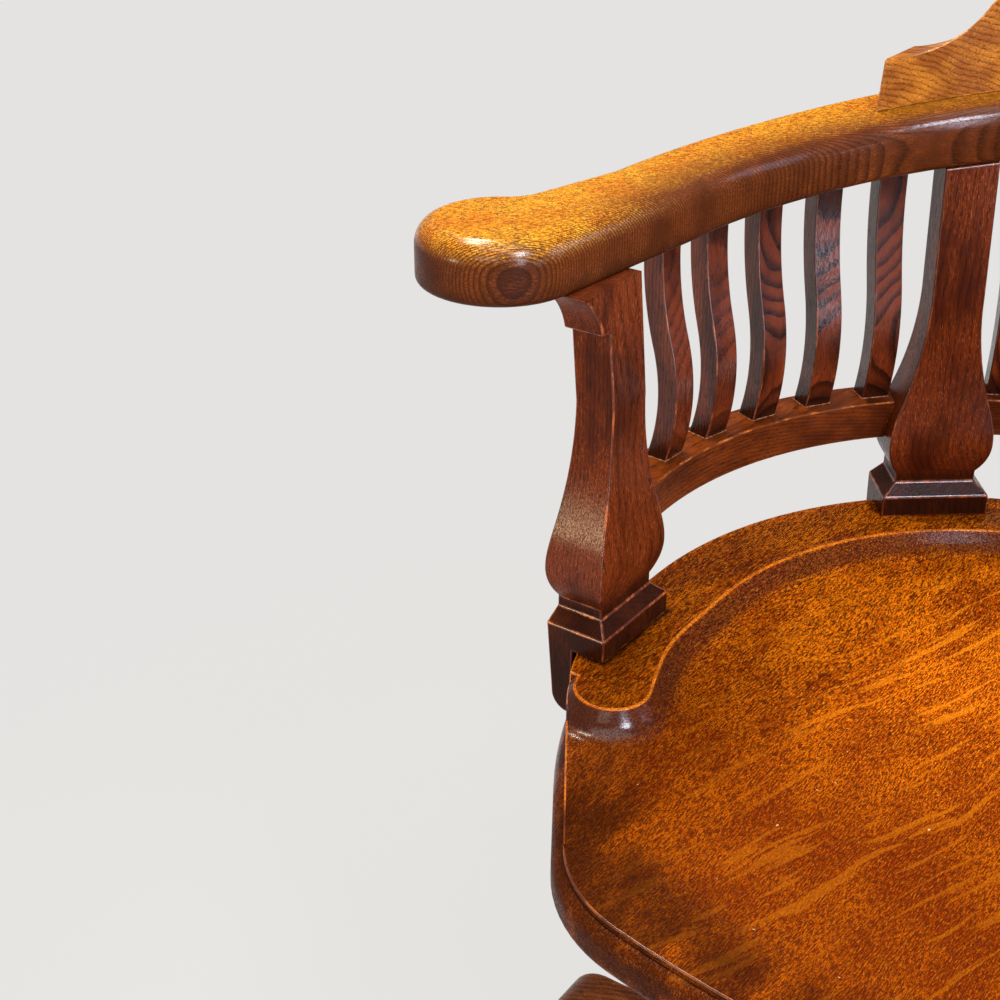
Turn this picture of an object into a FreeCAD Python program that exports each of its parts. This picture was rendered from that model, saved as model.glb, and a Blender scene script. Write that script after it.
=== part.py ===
import FreeCAD, Part

import math
import os
import re

import Sketcher
from FreeCAD import Placement, Rotation, Vector

# Bankers swivel chair in oak: a saddle seat with a bowed arm rail on slats, an iron tilting
# and swivelling mechanism under it, and a turned hub on four legs with castors.
# Origin on the floor on the swivel axis, Y to the back of the chair, Z up, and X to the right
# of someone who faces the chair. Left and right are theirs too. Millimetres and degrees.

doc = FreeCAD.newDocument("bankers_swivel_chair")
sheet = doc.addObject("Spreadsheet::Sheet", "Sizes")

SIZES = {
    # Seat board
    "seat_height": 470, "seat_thickness": 46, "seat_radius": 250,
    "side_start": 50, "side_radius": 170, "side_turn": 33, "side_run": 106,
    "corner_radius": 80, "front_turn": 80,
    "bead_reach": 6, "bead_sweep": 324, "bead_height": 24, "bead_round": 8,
    # Saddle hollow in the seat
    "rim_width": 47, "rim_front": 45, "waist_radius": 120, "waist_turn": 20, "waist_run": 30,
    "nose_radius": 21.5, "nose_turn": 196, "saddle_depth": 13, "cove_slope": 50,
    "cove_radius": 20, "saddle_dip": 5, "dip_inset": 95,
    # Posts
    "post_inset": 8, "post_forward": 70, "rear_post_angle": 38.6,
    "block_width": 39.6, "block_depth": 71, "block_height": 14, "tongue_thickness": 18,
    "tongue_length": 44, "tongue_round": 12, "tongue_taper": 4, "neck_low": 22, "neck_high": 29,
    "neck_width": 30, "neck_depth": 53.6, "bulb_level": 50, "bulb_width": 39.2,
    "bulb_depth": 69, "bulb_radius": 70, "waist_level": 150, "shaft_width": 25,
    "shaft_depth": 33.6, "bulb_set_out": 3, "post_lean": 15,
    "corbel_level": 194.5, "corbel_step": 7, "corbel_reach": 24, "corbel_radius": 33,
    # Lower rail
    "rail_inset": 8.5, "rail_depth": 28.5, "rail_low": 51, "rail_height": 25.5,
    # Slats
    "slat_set_in": 9.1, "slat_width": 18.6, "slat_thickness": 14, "slat_pitch": 9.64,
    "slat_bulge": 5.8, "slat_bow_share": 0.53, "slat_sweep_share": 0.41,
    # Arms
    "arm_low": 219.5, "arm_thickness": 34.5, "arm_inset": 11.5, "arm_width": 58.5,
    "arm_level_end": 20, "arm_lift_radius": 950, "paddle_inset": 3.5, "paddle_forward": 108.5,
    "paddle_radius": 45, "notch_angle": 114, "notch_round": 16, "arm_top_round": 14,
    "arm_bottom_round": 4,
    # Crest rail
    "crest_height": 78, "crest_thickness": 28, "crest_lean": 8, "crest_inset": 29.5,
    "crest_half_width": 205, "crest_shoulder": 120, "crest_end": 8,
    # Post screws and crest dowels
    "screw_shank": 6, "screw_head": 12, "screw_length": 60, "screw_inset": 10,
    "dowel_radius": 5, "dowel_length": 44, "dowel_shift": 3,
    # Seat iron
    "iron_length": 230, "iron_width": 150, "iron_plate": 6, "iron_rear": 85, "ear_gap": 76,
    "ear_thickness": 8, "ear_radius": 15, "pivot_drop": 29, "pivot_forward": 15,
    "pin_radius": 6, "pin_fit": 0.05, "iron_screw_radius": 3.5, "iron_screw_length": 26,
    "iron_screw_edge": 9, "iron_screw_end": 16,
    # Yoke on the head of the spindle
    "boss_radius": 23, "boss_drop": 53, "boss_height": 30, "barrel_radius": 13,
    "barrel_clearance": 0.5, "yoke_web": 26, "rod_margin": 20, "bar_drop": 37,
    "bar_height": 12, "bar_depth": 30, "bar_length": 132, "rod_spacing": 90,
    "rod_slot": 6, "arm_rib": 12, "stop_width": 22, "stop_gap": 0.3,
    # Tie rods, coil springs and tension nuts
    "rod_radius": 5, "rod_length": 138, "rod_head_radius": 6.5,
    "lug_thickness": 8, "hook_fit": 0.3, "spring_wire": 2.5, "spring_radius": 15.5,
    "spring_length": 78, "spring_turns": 7, "spring_end_pitch": 5.8, "nut_flange": 20,
    "nut_flange_height": 4, "nut_radius": 11, "nut_height": 12, "spring_seat": 0.4,
    # Spindle, keyed bush, hand wheel and hub socket
    "spindle_radius": 12.5, "spindle_fit": 0.06, "collar_radius": 16.5, "collar_height": 8,
    "height_travel": 60, "travel_spare": 2, "spindle_gap": 2,
    "key_width": 6, "key_depth": 3, "key_fit": 0.3,
    "bush_radius": 18, "bush_fit": 0.06, "bush_flange": 32, "bush_flange_height": 6,
    "socket_radius": 22, "socket_flange": 41, "socket_flange_height": 5, "bearing_gap": 0.3,
    "wheel_radius": 70, "wheel_rim": 6.5, "wheel_hub": 24, "wheel_height": 20,
    "wheel_gap": 4.4,
    "spoke_radius": 4.5, "spoke_count": 4, "hub_screw_radius": 3, "hub_screw_circle": 32,
    "hub_screw_length": 28,
    # Turned hub
    "hub_block": 84, "hub_block_height": 124, "hub_collar": 60,
    "hub_neck": 36, "hub_cap": 46, "hub_drop_length": 26, "hub_drop_radius": 26,
    # Legs
    "leg_width": 44, "leg_root_step": 8, "leg_root_height": 96, "leg_knee": 100,
    "foot_inner": 262, "foot_low": 62, "foot_high": 92, "foot_crown": 284,
    "leg_sag": 900, "leg_round": 6, "peg_radius": 6, "peg_length": 50, "peg_spacing": 48,
    # Castors
    "castor_circle": 288, "castor_plate": 17, "castor_plate_height": 2, "socket_wall": 2,
    "stem_radius": 5, "stem_fit": 0.06, "stem_length": 24, "castor_trail": 20,
    "castor_wheel": 25, "tread_width": 21, "tread_round": 3, "fork_gap": 24, "fork_plate": 3,
    "fork_crown": 5, "fork_depth": 22, "castor_axle": 4, "axle_fit": 0.06, "crown_clearance": 2.5,
}

# Places that follow from these sizes: radii out from the seat's edge, levels down from the seat,
# and the yoke's reach to the lugs at the front of the seat iron
PLACES = {
    "seat_low": "seat_height - seat_thickness",
    "rim_radius": "seat_radius - rim_width",
    "post_offset": "seat_radius - post_inset",
    "rail_inner": "seat_radius - rail_inset",
    "rail_outer": "rail_inner + rail_depth",
    "rail_high": "rail_low + rail_height",
    "slat_face": "rail_inner + slat_set_in",
    "arm_inner": "seat_radius - arm_inset",
    "arm_outer": "arm_inner + arm_width",
    "paddle_offset": "arm_outer - paddle_inset",
    "crest_radius": "arm_inner + crest_inset",
    "dowel_offset": "crest_radius + dowel_shift",
    "pivot_level": "seat_low - pivot_drop",
    "bar_forward": "iron_length - iron_rear - pivot_forward - rod_margin",
    "bar_low": "pivot_level - bar_drop",
    "boss_low": "pivot_level - boss_drop",
    "wheel_low": "boss_low - wheel_gap - wheel_height",
    "bush_flange_low": "wheel_low - bearing_gap - bush_flange_height",
    "hub_top": "bush_flange_low - bearing_gap - socket_flange_height",
    "hub_block_high": "hub_top - hub_collar",
    "hub_block_low": "hub_block_high - hub_block_height",
    "hub_drop": "hub_block_low - hub_drop_length",
    "leg_root_high": "hub_block_high - leg_root_step",
    "leg_root_low": "leg_root_high - leg_root_height",
}

for row, (word, size) in enumerate(SIZES.items(), start=1):
    sheet.set("A%d" % row, word)
    sheet.set("B%d" % row, str(size))
    sheet.setAlias("B%d" % row, word)
doc.recompute()


def formula(text):
    """The same formula with each place written out and each size turned into its cell."""
    def written_out(found):
        word = found.group()
        return "(%s)" % formula(PLACES[word]) if word in PLACES else "Sizes." + word

    return re.sub(r"\b[a-z]+(?:_[a-z]+)+\b", written_out, str(text))


def number(text):
    """The value of a formula in size words."""
    result = sheet.evalExpression(formula(text))
    return float(getattr(result, "Value", result))


def bind(thing, **settings):
    """Bind properties of an object to formulas in size words."""
    for name, text in settings.items():
        thing.setExpression(name.replace("__", "."), formula(text))
    return thing


def place(thing, x="0", y="0", z="0", turn=None, axis=(0, 0, 1)):
    """Set a piece's position, and its turn about an axis, from formulas."""
    if turn is not None:
        thing.Placement = Placement(Vector(), Rotation(Vector(*axis), 1.0))
        thing.setExpression("Placement.Rotation.Angle", formula(turn))
    return bind(thing, Placement__Base__x=x, Placement__Base__y=y, Placement__Base__z=z)


def arc_of(start, end, radius, way):
    """Arc from start to end, turning left or right, and under or over half a circle."""
    chord = end - start
    middle = (start + end) * 0.5
    left = Vector(-chord.y, chord.x, 0).normalize()
    reach = math.sqrt(max(radius ** 2 - (chord.Length / 2) ** 2, 0))
    side = 1 if way.startswith("left") else -1
    if way.endswith("long"):
        side = -side
    centre = middle + left * reach * side
    first, last = (start, end) if way.startswith("left") else (end, start)
    angles = [math.atan2(point.y - centre.y, point.x - centre.x) for point in (first, last)]
    return Part.ArcOfCircle(Part.Circle(centre, Vector(0, 0, 1), radius), *angles)


def sketch(body, plane, corners):
    """A closed outline on an origin plane. A corner is (x, y) or (x, y, way, radius) where
    the edge that leaves it is an arc; every corner and radius is held by a dimension."""
    drawing = body.newObject("Sketcher::SketchObject", body.Name + "_outline")
    flat = [feature for feature in body.Origin.OriginFeatures if feature.Role == plane][0]
    drawing.AttachmentSupport = [(flat, "")]
    drawing.MapMode = "FlatFace"
    points = [Vector(number(corner[0]), number(corner[1]), 0) for corner in corners]
    ends = []
    for index, corner in enumerate(corners):
        start, end = points[index], points[(index + 1) % len(points)]
        if len(corner) == 2:
            drawing.addGeometry(Part.LineSegment(start, end))
            ends.append((1, 2))
        else:
            drawing.addGeometry(arc_of(start, end, number(corner[3]), corner[2]))
            ends.append((1, 2) if corner[2].startswith("left") else (2, 1))
    for index, corner in enumerate(corners):
        after = (index + 1) % len(corners)
        drawing.addConstraint(
            Sketcher.Constraint("Coincident", index, ends[index][1], after, ends[after][0]))
        for kind, text, value in (("DistanceX", corner[0], points[index].x),
                                  ("DistanceY", corner[1], points[index].y)):
            held = drawing.addConstraint(
                Sketcher.Constraint(kind, -1, 1, index, ends[index][0], value))
            drawing.setExpression("Constraints[%d]" % held, formula(text))
        if len(corner) == 4:
            held = drawing.addConstraint(Sketcher.Constraint("Radius", index, number(corner[3])))
            drawing.setExpression("Constraints[%d]" % held, formula(corner[3]))
    return drawing


def pad(name, plane, corners, length, both=False):
    """A body padded from one outline, to one side of its plane or evenly to both."""
    body = doc.addObject("PartDesign::Body", name)
    feature = body.newObject("PartDesign::Pad", name + "_pad")
    feature.Profile = sketch(body, plane, corners)
    feature.SideType = "Symmetric" if both else "One side"
    bind(feature, Length=length)
    return body


def turned(name, corners, angle=None):
    """A body turned about the Z axis from an outline of radius and height."""
    body = doc.addObject("PartDesign::Body", name)
    feature = body.newObject("PartDesign::Revolution", name + "_turning")
    feature.Profile = sketch(body, "XZ_Plane", corners)
    axis = [line for line in body.Origin.OriginFeatures if line.Role == "Z_Axis"][0]
    feature.ReferenceAxis = (axis, [""])
    if angle:
        bind(feature, Angle=angle)
    return body


def box(name, length, width, height, x="0", y="0", z="0"):
    """A block centred in X and Y on x, y, standing on z."""
    block = bind(doc.addObject("Part::Box", name), Length=length, Width=width, Height=height)
    return place(block, "%s - (%s) / 2" % (x, length), "%s - (%s) / 2" % (y, width), z)


def rod(name, radius, length, x="0", y="0", z="0", along="Z"):
    """A cylinder from x, y, z up, or centred on it along X or Y."""
    piece = bind(doc.addObject("Part::Cylinder", name), Radius=radius, Height=length)
    if along == "X":
        return place(piece, "%s - (%s) / 2" % (x, length), y, z, "90", (0, 1, 0))
    if along == "Y":
        return place(piece, x, "%s + (%s) / 2" % (y, length), z, "90", (1, 0, 0))
    return place(piece, x, y, z)


def cut(name, base, tools):
    """Base less each tool in turn."""
    for index, tool in enumerate(tools):
        last = index == len(tools) - 1
        result = doc.addObject("Part::Cut", name if last else "%s_cut%d" % (name, index))
        result.Base, result.Tool = base, tool
        base = result
    return base


def fuse(name, pieces):
    """All the pieces as one."""
    result = doc.addObject("Part::MultiFuse", name)
    result.Shapes = pieces
    result.Refine = True
    return result


def common(name, pieces):
    """What all the pieces share."""
    result = doc.addObject("Part::MultiCommon", name)
    result.Shapes = pieces
    return result


def group(name, pieces):
    """Like pieces that stay separate solids in one sub-part."""
    result = doc.addObject("Part::Compound", name)
    result.Links = pieces
    return result


def mirrored(name, source, normal=(1, 0, 0)):
    """The opposite hand of a piece, across a plane through the swivel axis."""
    result = doc.addObject("Part::Mirroring", name)
    result.Source = source
    result.Normal = normal
    result.Base = (0, 0, 0)
    return result


def rounded(name, base, radius, picked):
    """Base with the edges rounded that the test picks."""
    doc.recompute()
    result = doc.addObject("Part::Fillet", name)
    result.Base = base
    size = number(radius)
    result.Edges = [(index, size, size)
                    for index, edge in enumerate(base.Shape.Edges, start=1) if picked(edge)]
    return result


def middle(edge):
    """The point half way along an edge."""
    return edge.valueAt((edge.FirstParameter + edge.LastParameter) / 2)


def feature(name, shape):
    """A sub-part or tool whose shape is worked out here from the sheet."""
    result = doc.addObject("Part::Feature", name)
    result.Shape = shape
    return result


parts = {}


def keep(name, thing):
    """Name a finished sub-part."""
    thing.Label = name
    parts[name] = thing
    return thing


SIDES = {"left": "-1", "right": "1"}


# Seat: one oak board in two steps, a nosing over a wider bead, hollowed to a saddle

def seat_outline(grow, sweep="side_radius"):
    """The seat's outline, grown by a length: a round back, flanks that turn in on a sweep
    of some radius and then run straight, and a bowed front."""
    spare = "((%s - side_radius) * tan(side_turn / 2))" % sweep
    begin, run = "(side_start - %s)" % spare, "(side_run - %s)" % spare
    bend = "(%s + %s)" % (sweep, grow)
    flank_x = "(seat_radius + %s - %s * (1 - cos(side_turn)))" % (grow, bend)
    flank_y = "(%s + %s * sin(side_turn))" % (begin, bend)
    knee_x = "(%s - %s * sin(side_turn))" % (flank_x, run)
    knee_y = "(%s + %s * cos(side_turn))" % (flank_y, run)
    bow_x = "({0} - (corner_radius + {1}) * (cos(side_turn) - cos(front_turn)))".format(knee_x, grow)
    bow_y = "({0} + (corner_radius + {1}) * (sin(front_turn) - sin(side_turn)))".format(knee_y, grow)
    return [
        ("seat_radius + " + grow, "0", "left", "seat_radius + " + grow),
        ("0", "seat_radius + " + grow, "left", "seat_radius + " + grow),
        ("-(seat_radius + %s)" % grow, "0"),
        ("-(seat_radius + %s)" % grow, "-" + begin, "left", bend),
        ("-" + flank_x, "-" + flank_y),
        ("-" + knee_x, "-" + knee_y, "left", "corner_radius + " + grow),
        ("-" + bow_x, "-" + bow_y, "left", bow_x + " / cos(front_turn)"),
        (bow_x, "-" + bow_y, "left", "corner_radius + " + grow),
        (knee_x, "-" + knee_y),
        (flank_x, "-" + flank_y, "left", bend),
        ("seat_radius + " + grow, "-" + begin),
    ]


def saddle_wire(inset, level):
    """Edge of the saddle hollow: round at the back, two noses at the sides, open in front."""
    rim, waist = number("rim_radius") - inset, number("waist_radius") - inset
    nose, turn = number("nose_radius") + inset, math.radians(number("waist_turn"))
    start = Vector(-rim, 0, level)
    knee = Vector(-rim, -number("rim_front"), level)
    bend = math.radians(number("waist_turn") / 2)
    centre = knee + Vector(waist, 0, 0)
    half = centre - Vector(waist * math.cos(bend), waist * math.sin(bend), 0)
    end = centre - Vector(waist * math.cos(turn), waist * math.sin(turn), 0)
    run = Vector(math.sin(turn), -math.cos(turn), 0) * number("waist_run")
    hub = end + run - Vector(math.cos(turn), math.sin(turn), 0) * nose
    angles = [turn, turn - math.radians(number("nose_turn") / 2),
              turn - math.radians(number("nose_turn"))]
    nosing = [hub + Vector(math.cos(angle), math.sin(angle), 0) * nose for angle in angles]
    reach, front = 1.3 * number("seat_radius"), 1.4 * number("seat_radius")
    side = Vector(-reach, nosing[2].y + 0.1 * nose, level)
    corner = Vector(-reach, -front, level)
    edges = [Part.LineSegment(start, knee), Part.Arc(knee, half, end),
             Part.LineSegment(end, nosing[0]), Part.Arc(*nosing),
             Part.LineSegment(nosing[2], side), Part.LineSegment(side, corner)]
    left = [edge.toShape() for edge in edges]
    right = [edge.mirror(Vector(), Vector(1, 0, 0)) for edge in left]
    front_edge = Part.LineSegment(corner, Vector(reach, -front, level)).toShape()
    back_edge = Part.Arc(Vector(rim, 0, level), Vector(0, rim, level), start).toShape()
    return Part.Wire(left + [front_edge] + right[::-1] + [back_edge])


def saddle_tool():
    """The wood that the saddle takes out: a straight steep bevel under the rim, a cove that
    eases out of it, and then a shallow dip."""
    top, depth, dip = number("seat_height"), number("saddle_depth"), number("saddle_dip")
    steep, radius = math.radians(number("cove_slope")), number("cove_radius")
    ease = math.atan2(dip, number("dip_inset"))
    lift = dip
    bevel = depth - radius * (math.cos(ease) - math.cos(steep))
    levels = [(-lift / math.tan(steep), top + lift), (bevel / math.tan(steep), top - bevel)]
    steps = 8
    for step in range(1, steps + 1):
        angle = steep + (ease - steep) * step / steps
        levels.append((bevel / math.tan(steep) + radius * (math.sin(steep) - math.sin(angle)),
                       top - bevel - radius * (math.cos(angle) - math.cos(steep))))
    levels.append((number("dip_inset"), top - depth - dip))
    wires = [saddle_wire(inset, level) for inset, level in levels]
    return Part.makeLoft(wires, True, True)


bead = pad("seat_bead", "XY_Plane", seat_outline("bead_reach", "bead_sweep"), "bead_height")
nosing = pad("seat_nosing", "XY_Plane", seat_outline("0"), "seat_thickness - bead_height")
place(bead, z="seat_low")
place(nosing, z="seat_low + bead_height")
round_bead = rounded("seat_bead_round", bead, "bead_round", lambda edge: edge.BoundBox.ZLength < 1)
board = fuse("seat_board", [round_bead, nosing])
hollowed = cut("seat_hollowed", board, [feature("saddle_tool", saddle_tool())])


# Screws up through the seat into the feet of the posts

POSTS = {
    "front_left": ("-post_offset", "-post_forward", "180",
                   "-(post_offset - screw_inset)", "-post_forward"),
    "front_right": ("post_offset", "-post_forward", "0",
                    "post_offset - screw_inset", "-post_forward"),
}
for side, sign in SIDES.items():
    angle = "(90 - (%s) * rear_post_angle)" % sign
    POSTS["rear_" + side] = (
        "post_offset * cos(%s)" % angle, "post_offset * sin(%s)" % angle, angle,
        "(post_offset - screw_inset) * cos(%s)" % angle,
        "(post_offset - screw_inset) * sin(%s)" % angle)

post_screws = {}
for name, (_, _, _, x, y) in POSTS.items():
    head = rod("screw_head_" + name, "screw_head / 2", "screw_shank / 2", x, y,
               "seat_low - screw_shank / 2")
    shank = rod("screw_shank_" + name, "screw_shank / 2", "screw_length", x, y, "seat_low")
    post_screws[name] = fuse("post_screw_" + name, [head, shank])
keep("post_screws", group("post_screw_set", list(post_screws.values())))


# Posts: four shaped uprights, each sawn to one template from the front and one from the side

ABOVE = "seat_height + "


def swell(wide, narrow):
    """Turn of the two arcs that carry a post from its bulb to its shaft."""
    return "(2 * atan(({0} - {1}) / 2 / (waist_level - bulb_level)))".format(wide, narrow)


def post_side(wide, narrow, neck, block, sign, shift="0", lean="0"):
    """One edge of a post's template from the block up to the top, as outline corners."""
    turn = swell(wide, narrow)
    total = "((waist_level - bulb_level) / sin(%s))" % turn
    mid_x = "(%s / 2 - bulb_radius * (1 - cos(%s)))" % (wide, turn)
    mid_z = "(bulb_level + bulb_radius * sin(%s))" % turn
    base = "(bulb_level - neck_high)"
    swing = "({0} - {1}) / 2".format(wide, neck)
    round_low = "((({0}) * ({0}) + {1} * {1}) / (2 * {0}))".format("(%s)" % swing, base)
    bend = "right" if sign < 0 else "left"
    back = "left" if sign < 0 else "right"
    low = "%s - %s" if sign < 0 else "%s + %s"
    corners = [
        (low % ("0", block + " / 2"), ABOVE + "block_height"),
        (low % (shift, neck + " / 2"), ABOVE + "neck_low"),
        (low % (shift, neck + " / 2"), ABOVE + "neck_high", bend, round_low),
        (low % (shift, wide + " / 2"), ABOVE + "bulb_level", bend, "bulb_radius"),
        (low % (shift, mid_x), ABOVE + mid_z, back, "(%s - bulb_radius)" % total),
        (low % (shift, narrow + " / 2"), ABOVE + "waist_level"),
        (low % (lean, narrow + " / 2"), "arm_top_level"),
    ]
    return corners


POST_TOP = "seat_height + arm_low + 2 * arm_thickness"


def post(name, corbelled):
    """A post standing on its own origin, with its outer face towards +X."""
    front = post_side("bulb_width", "shaft_width", "neck_width", "block_width", 1,
                      "bulb_set_out", "post_lean")
    back = post_side("bulb_width", "shaft_width", "neck_width", "block_width", -1,
                     "bulb_set_out", "post_lean")
    inner = "(block_width / 2 - tongue_thickness)"
    tongue = [
        (inner, "seat_height"),
        (inner, "seat_height - tongue_length"),
        ("block_width / 2 - tongue_taper - tongue_round", "seat_height - tongue_length", "left",
         "tongue_round"),
        ("block_width / 2 - tongue_taper", "seat_height - tongue_length + tongue_round"),
    ]
    template = tongue + front + reversed_edge(back) + [("-block_width / 2", "seat_height")]
    elevation = pad(name + "_front_view", "XZ_Plane", top_level(template), "2 * block_depth", True)
    near = post_side("bulb_depth", "shaft_depth", "neck_depth", "block_depth", 1)
    far = post_side("bulb_depth", "shaft_depth", "neck_depth", "block_depth", -1)
    if corbelled:
        face = "shaft_depth / 2"
        near = near[:-1] + [
            (face, ABOVE + "corbel_level"),
            (face + " + corbel_step", ABOVE + "corbel_level", "right", "corbel_radius"),
            (face + " + corbel_reach", ABOVE + "arm_low"),
            (face + " + corbel_reach", "arm_top_level"),
        ]
    foot = [("-block_depth / 2", "seat_height - tongue_length"),
            ("block_depth / 2", "seat_height - tongue_length")]
    template = foot + near + reversed_edge(far)
    side = pad(name + "_side_view", "YZ_Plane", top_level(template), "3 * block_width", True)
    return common(name + "_sawn", [elevation, side])


def reversed_edge(corners):
    """The same edge drawn from the top down, each arc leaving from its other end."""
    flipped = []
    swap = {"left": "right", "right": "left"}
    for index in range(len(corners) - 1, -1, -1):
        corner = corners[index][:2]
        before = corners[index - 1] if index else ()
        if len(before) == 4:
            corner += (swap[before[2]], before[3])
        flipped.append(corner)
    return flipped


def top_level(corners):
    """Corners with the top of the post, above the arm's underside, written out."""
    return [(corner[0], corner[1].replace("arm_top_level", POST_TOP)) + tuple(corner[2:])
            for corner in corners]


# Arm band: the curved board, seen from the side, that the arms are sawn from

def arm_band(name, low, high):
    """A board between two heights over the arm's underside, level in front and then
    sweeping up towards the back on arcs about one centre."""
    front, turn = "-2 * seat_radius", "20"
    base = "seat_height + arm_low"
    end_x = "arm_level_end + (arm_lift_radius - ({0})) * sin(%s)" % turn
    end_z = base + " + arm_lift_radius - (arm_lift_radius - ({0})) * cos(%s)" % turn
    corners = [
        (front, base + " + " + low),
        ("arm_level_end", base + " + " + low, "left", "arm_lift_radius - (%s)" % low),
        (end_x.format(low), end_z.format(low)),
        (end_x.format(high), end_z.format(high), "right", "arm_lift_radius - (%s)" % high),
        ("arm_level_end", base + " + " + high),
        (front, base + " + " + high),
    ]
    return pad(name, "YZ_Plane", corners, "4 * seat_radius", True)


over_arm = arm_band("over_arm_underside", "0", "6 * arm_thickness")

left_tool = post("front_post", True)
rear_tool = post("rear_post", False)

x, y, turn = POSTS["front_left"][:3]
front_left = cut("front_left_post", place(left_tool, x, y, "0", turn),
                 [over_arm, post_screws["front_left"]])
keep("front_post_left", front_left)
keep("front_post_right", mirrored("front_right_post", front_left))

x, y, turn = POSTS["rear_right"][:3]
rear_right = cut("rear_right_post", place(rear_tool, x, y, "0", turn),
                 [over_arm, post_screws["rear_right"]])
keep("rear_post_right", rear_right)
keep("rear_post_left", mirrored("rear_left_post", rear_right))


# Seat notches: each post's tongue lies in a flat notch in the edge of the seat

def notch(name, x, y, turn):
    """The block of air that a post's tongue fills in the edge of the seat."""
    block = bind(doc.addObject("Part::Box", name), Length="block_width", Width="block_depth",
                 Height="tongue_length + 2 * block_height")
    holder = place(block, "block_width / 2 - tongue_thickness", "-block_depth / 2",
                   "seat_height - tongue_length")
    turned_block = group(name + "_turned", [holder])
    return place(turned_block, x, y, "0", turn)


notches = [notch("notch_" + name, x, y, turn) for name, (x, y, turn, _, _) in POSTS.items()]


# Lower rail: three bowed lengths tenoned between the posts

def rail(name, start, span, posts):
    """A ring sector of the lower rail, cut to the faces of the posts at its ends."""
    rings = []
    for ring, radius, low, high in (("outer", "rail_outer", "rail_low", "rail_high"),
                                    ("inner", "rail_inner", "rail_low - 1", "rail_high + 1")):
        piece = doc.addObject("Part::Cylinder", name + "_" + ring)
        bind(piece, Radius=radius, Height="%s - (%s)" % (high, low), Angle=span)
        rings.append(place(piece, z="seat_height + " + low, turn=start))
    return cut(name, rings[0], [rings[1]] + posts)


BACK_SPAN = "2 * rear_post_angle"
SIDE_SPAN = "(90 deg + asin(post_forward / post_offset) - rear_post_angle * 1 deg)"
left_rail = rail("lower_rail_left_piece", "90 + rear_post_angle", SIDE_SPAN,
                 [front_left, parts["rear_post_left"]])
keep("lower_rail_left", left_rail)
keep("lower_rail_right", mirrored("lower_rail_right_piece", left_rail))
keep("lower_rail_back", rail("lower_rail_back_piece", "90 - rear_post_angle", BACK_SPAN,
                             [rear_right, parts["rear_post_left"]]))


# Slats: S-curved back slats between the lower rail and the arm rail

def slat(name, angle):
    """One slat: bowed towards the sitter low down, swept outwards to an upright top."""
    reach = "(slat_face * sin(%s) - arm_level_end)" % angle
    under = ("(arm_low + arm_lift_radius - sqrt(arm_lift_radius * arm_lift_radius"
             " - max(0; {0}) * max(0; {0})) - rail_high)").format(reach)
    bow, sweep = "(slat_bow_share * %s)" % under, "(slat_sweep_share * %s)" % under
    bend = "(({0} * {0} / 4 + slat_bulge * slat_bulge) / (2 * slat_bulge))".format(bow)
    turn = "asin(%s / 2 / %s)" % (bow, bend)
    flare = "(%s / sin(%s))" % (sweep, turn)
    lean = "(%s * (1 - cos(%s)))" % (flare, turn)
    foot = "(seat_height + rail_high)"
    thick = "slat_thickness"
    skew_x, skew_z = "({0} * cos({1}))".format(thick, turn), "({0} * sin({1}))".format(thick, turn)
    top = POST_TOP + " + 60"
    knee = foot + " + " + bow
    crown = knee + " + " + sweep
    corners = [
        ("slat_face", foot),
        ("slat_face + slat_thickness / cos(%s)" % turn, foot),
        ("slat_face + " + skew_x, "%s + %s" % (foot, skew_z), "right", bend + " - " + thick),
        ("slat_face + " + skew_x, "%s - %s" % (knee, skew_z), "left", "%s + %s" % (flare, thick)),
        ("slat_face + %s + %s" % (lean, thick), crown),
        ("slat_face + %s + %s" % (lean, thick), top),
        ("slat_face + " + lean, top),
        ("slat_face + " + lean, crown, "right", flare),
        ("slat_face", knee, "left", bend),
    ]
    body = place(pad(name + "_sawn", "XZ_Plane", corners, "slat_width", True), turn=angle)
    return cut(name + "_piece", body, [over_arm])


POST_PLACES = (-4, 4)
places = [index for index in range(9, -10, -1) if index not in POST_PLACES]
for count, index in enumerate(places, start=1):
    name = "slat_%02d" % count
    keep(name, slat(name, "(90 + slat_pitch * %d)" % index))


# Dowels that join the crest rail to the arms

dowels = {}
for angle in ("60", "80", "100", "120"):
    y = "(dowel_offset * sin(%s))" % angle
    level = ("seat_height + arm_low + arm_lift_radius - sqrt((arm_lift_radius - arm_thickness)"
             " * (arm_lift_radius - arm_thickness) - ({0} - arm_level_end)"
             " * ({0} - arm_level_end)) - dowel_length / 2").format(y)
    dowels[angle] = rod("dowel_" + angle, "dowel_radius", "dowel_length",
                        "dowel_offset * cos(%s)" % angle, y, level)
keep("crest_dowels", group("crest_dowel_set", list(dowels.values())))


# Arms: two bowed boards with round paddles, butted at the middle of the back

def arm_plan():
    """The left arm from above: round paddle, notch behind it, then the bow of the back."""
    run_x, run_y = "(arm_inner - paddle_offset)", "(-paddle_forward)"
    span = "(%s * %s + %s * %s)" % (run_x, run_x, run_y, run_y)
    length = "sqrt(%s - paddle_radius * paddle_radius)" % span
    touch_x = "(-arm_inner + {0} / {1} * ({0} * {2} - paddle_radius * {3}))".format(
        length, span, run_x, run_y)
    touch_y = "({0} / {1} * ({0} * {3} + paddle_radius * {2}))".format(length, span, run_x, run_y)
    return [
        ("0", "arm_outer", "left", "arm_outer"),
        ("-arm_outer", "0"),
        ("-paddle_offset + paddle_radius * cos(notch_angle)",
         "-paddle_forward + paddle_radius * sin(notch_angle)", "left long", "paddle_radius"),
        (touch_x, touch_y),
        ("-arm_inner", "0", "right", "arm_inner"),
        ("0", "arm_inner"),
    ]


arm_outline = place(pad("arm_outline", "XY_Plane", arm_plan(), "9 * arm_thickness"),
                    z="seat_height + arm_low - arm_thickness")
arm_board = arm_band("arm_board", "0", "arm_thickness")
sawn_arm = common("arm_sawn", [arm_outline, arm_board])
doc.recompute()


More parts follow.
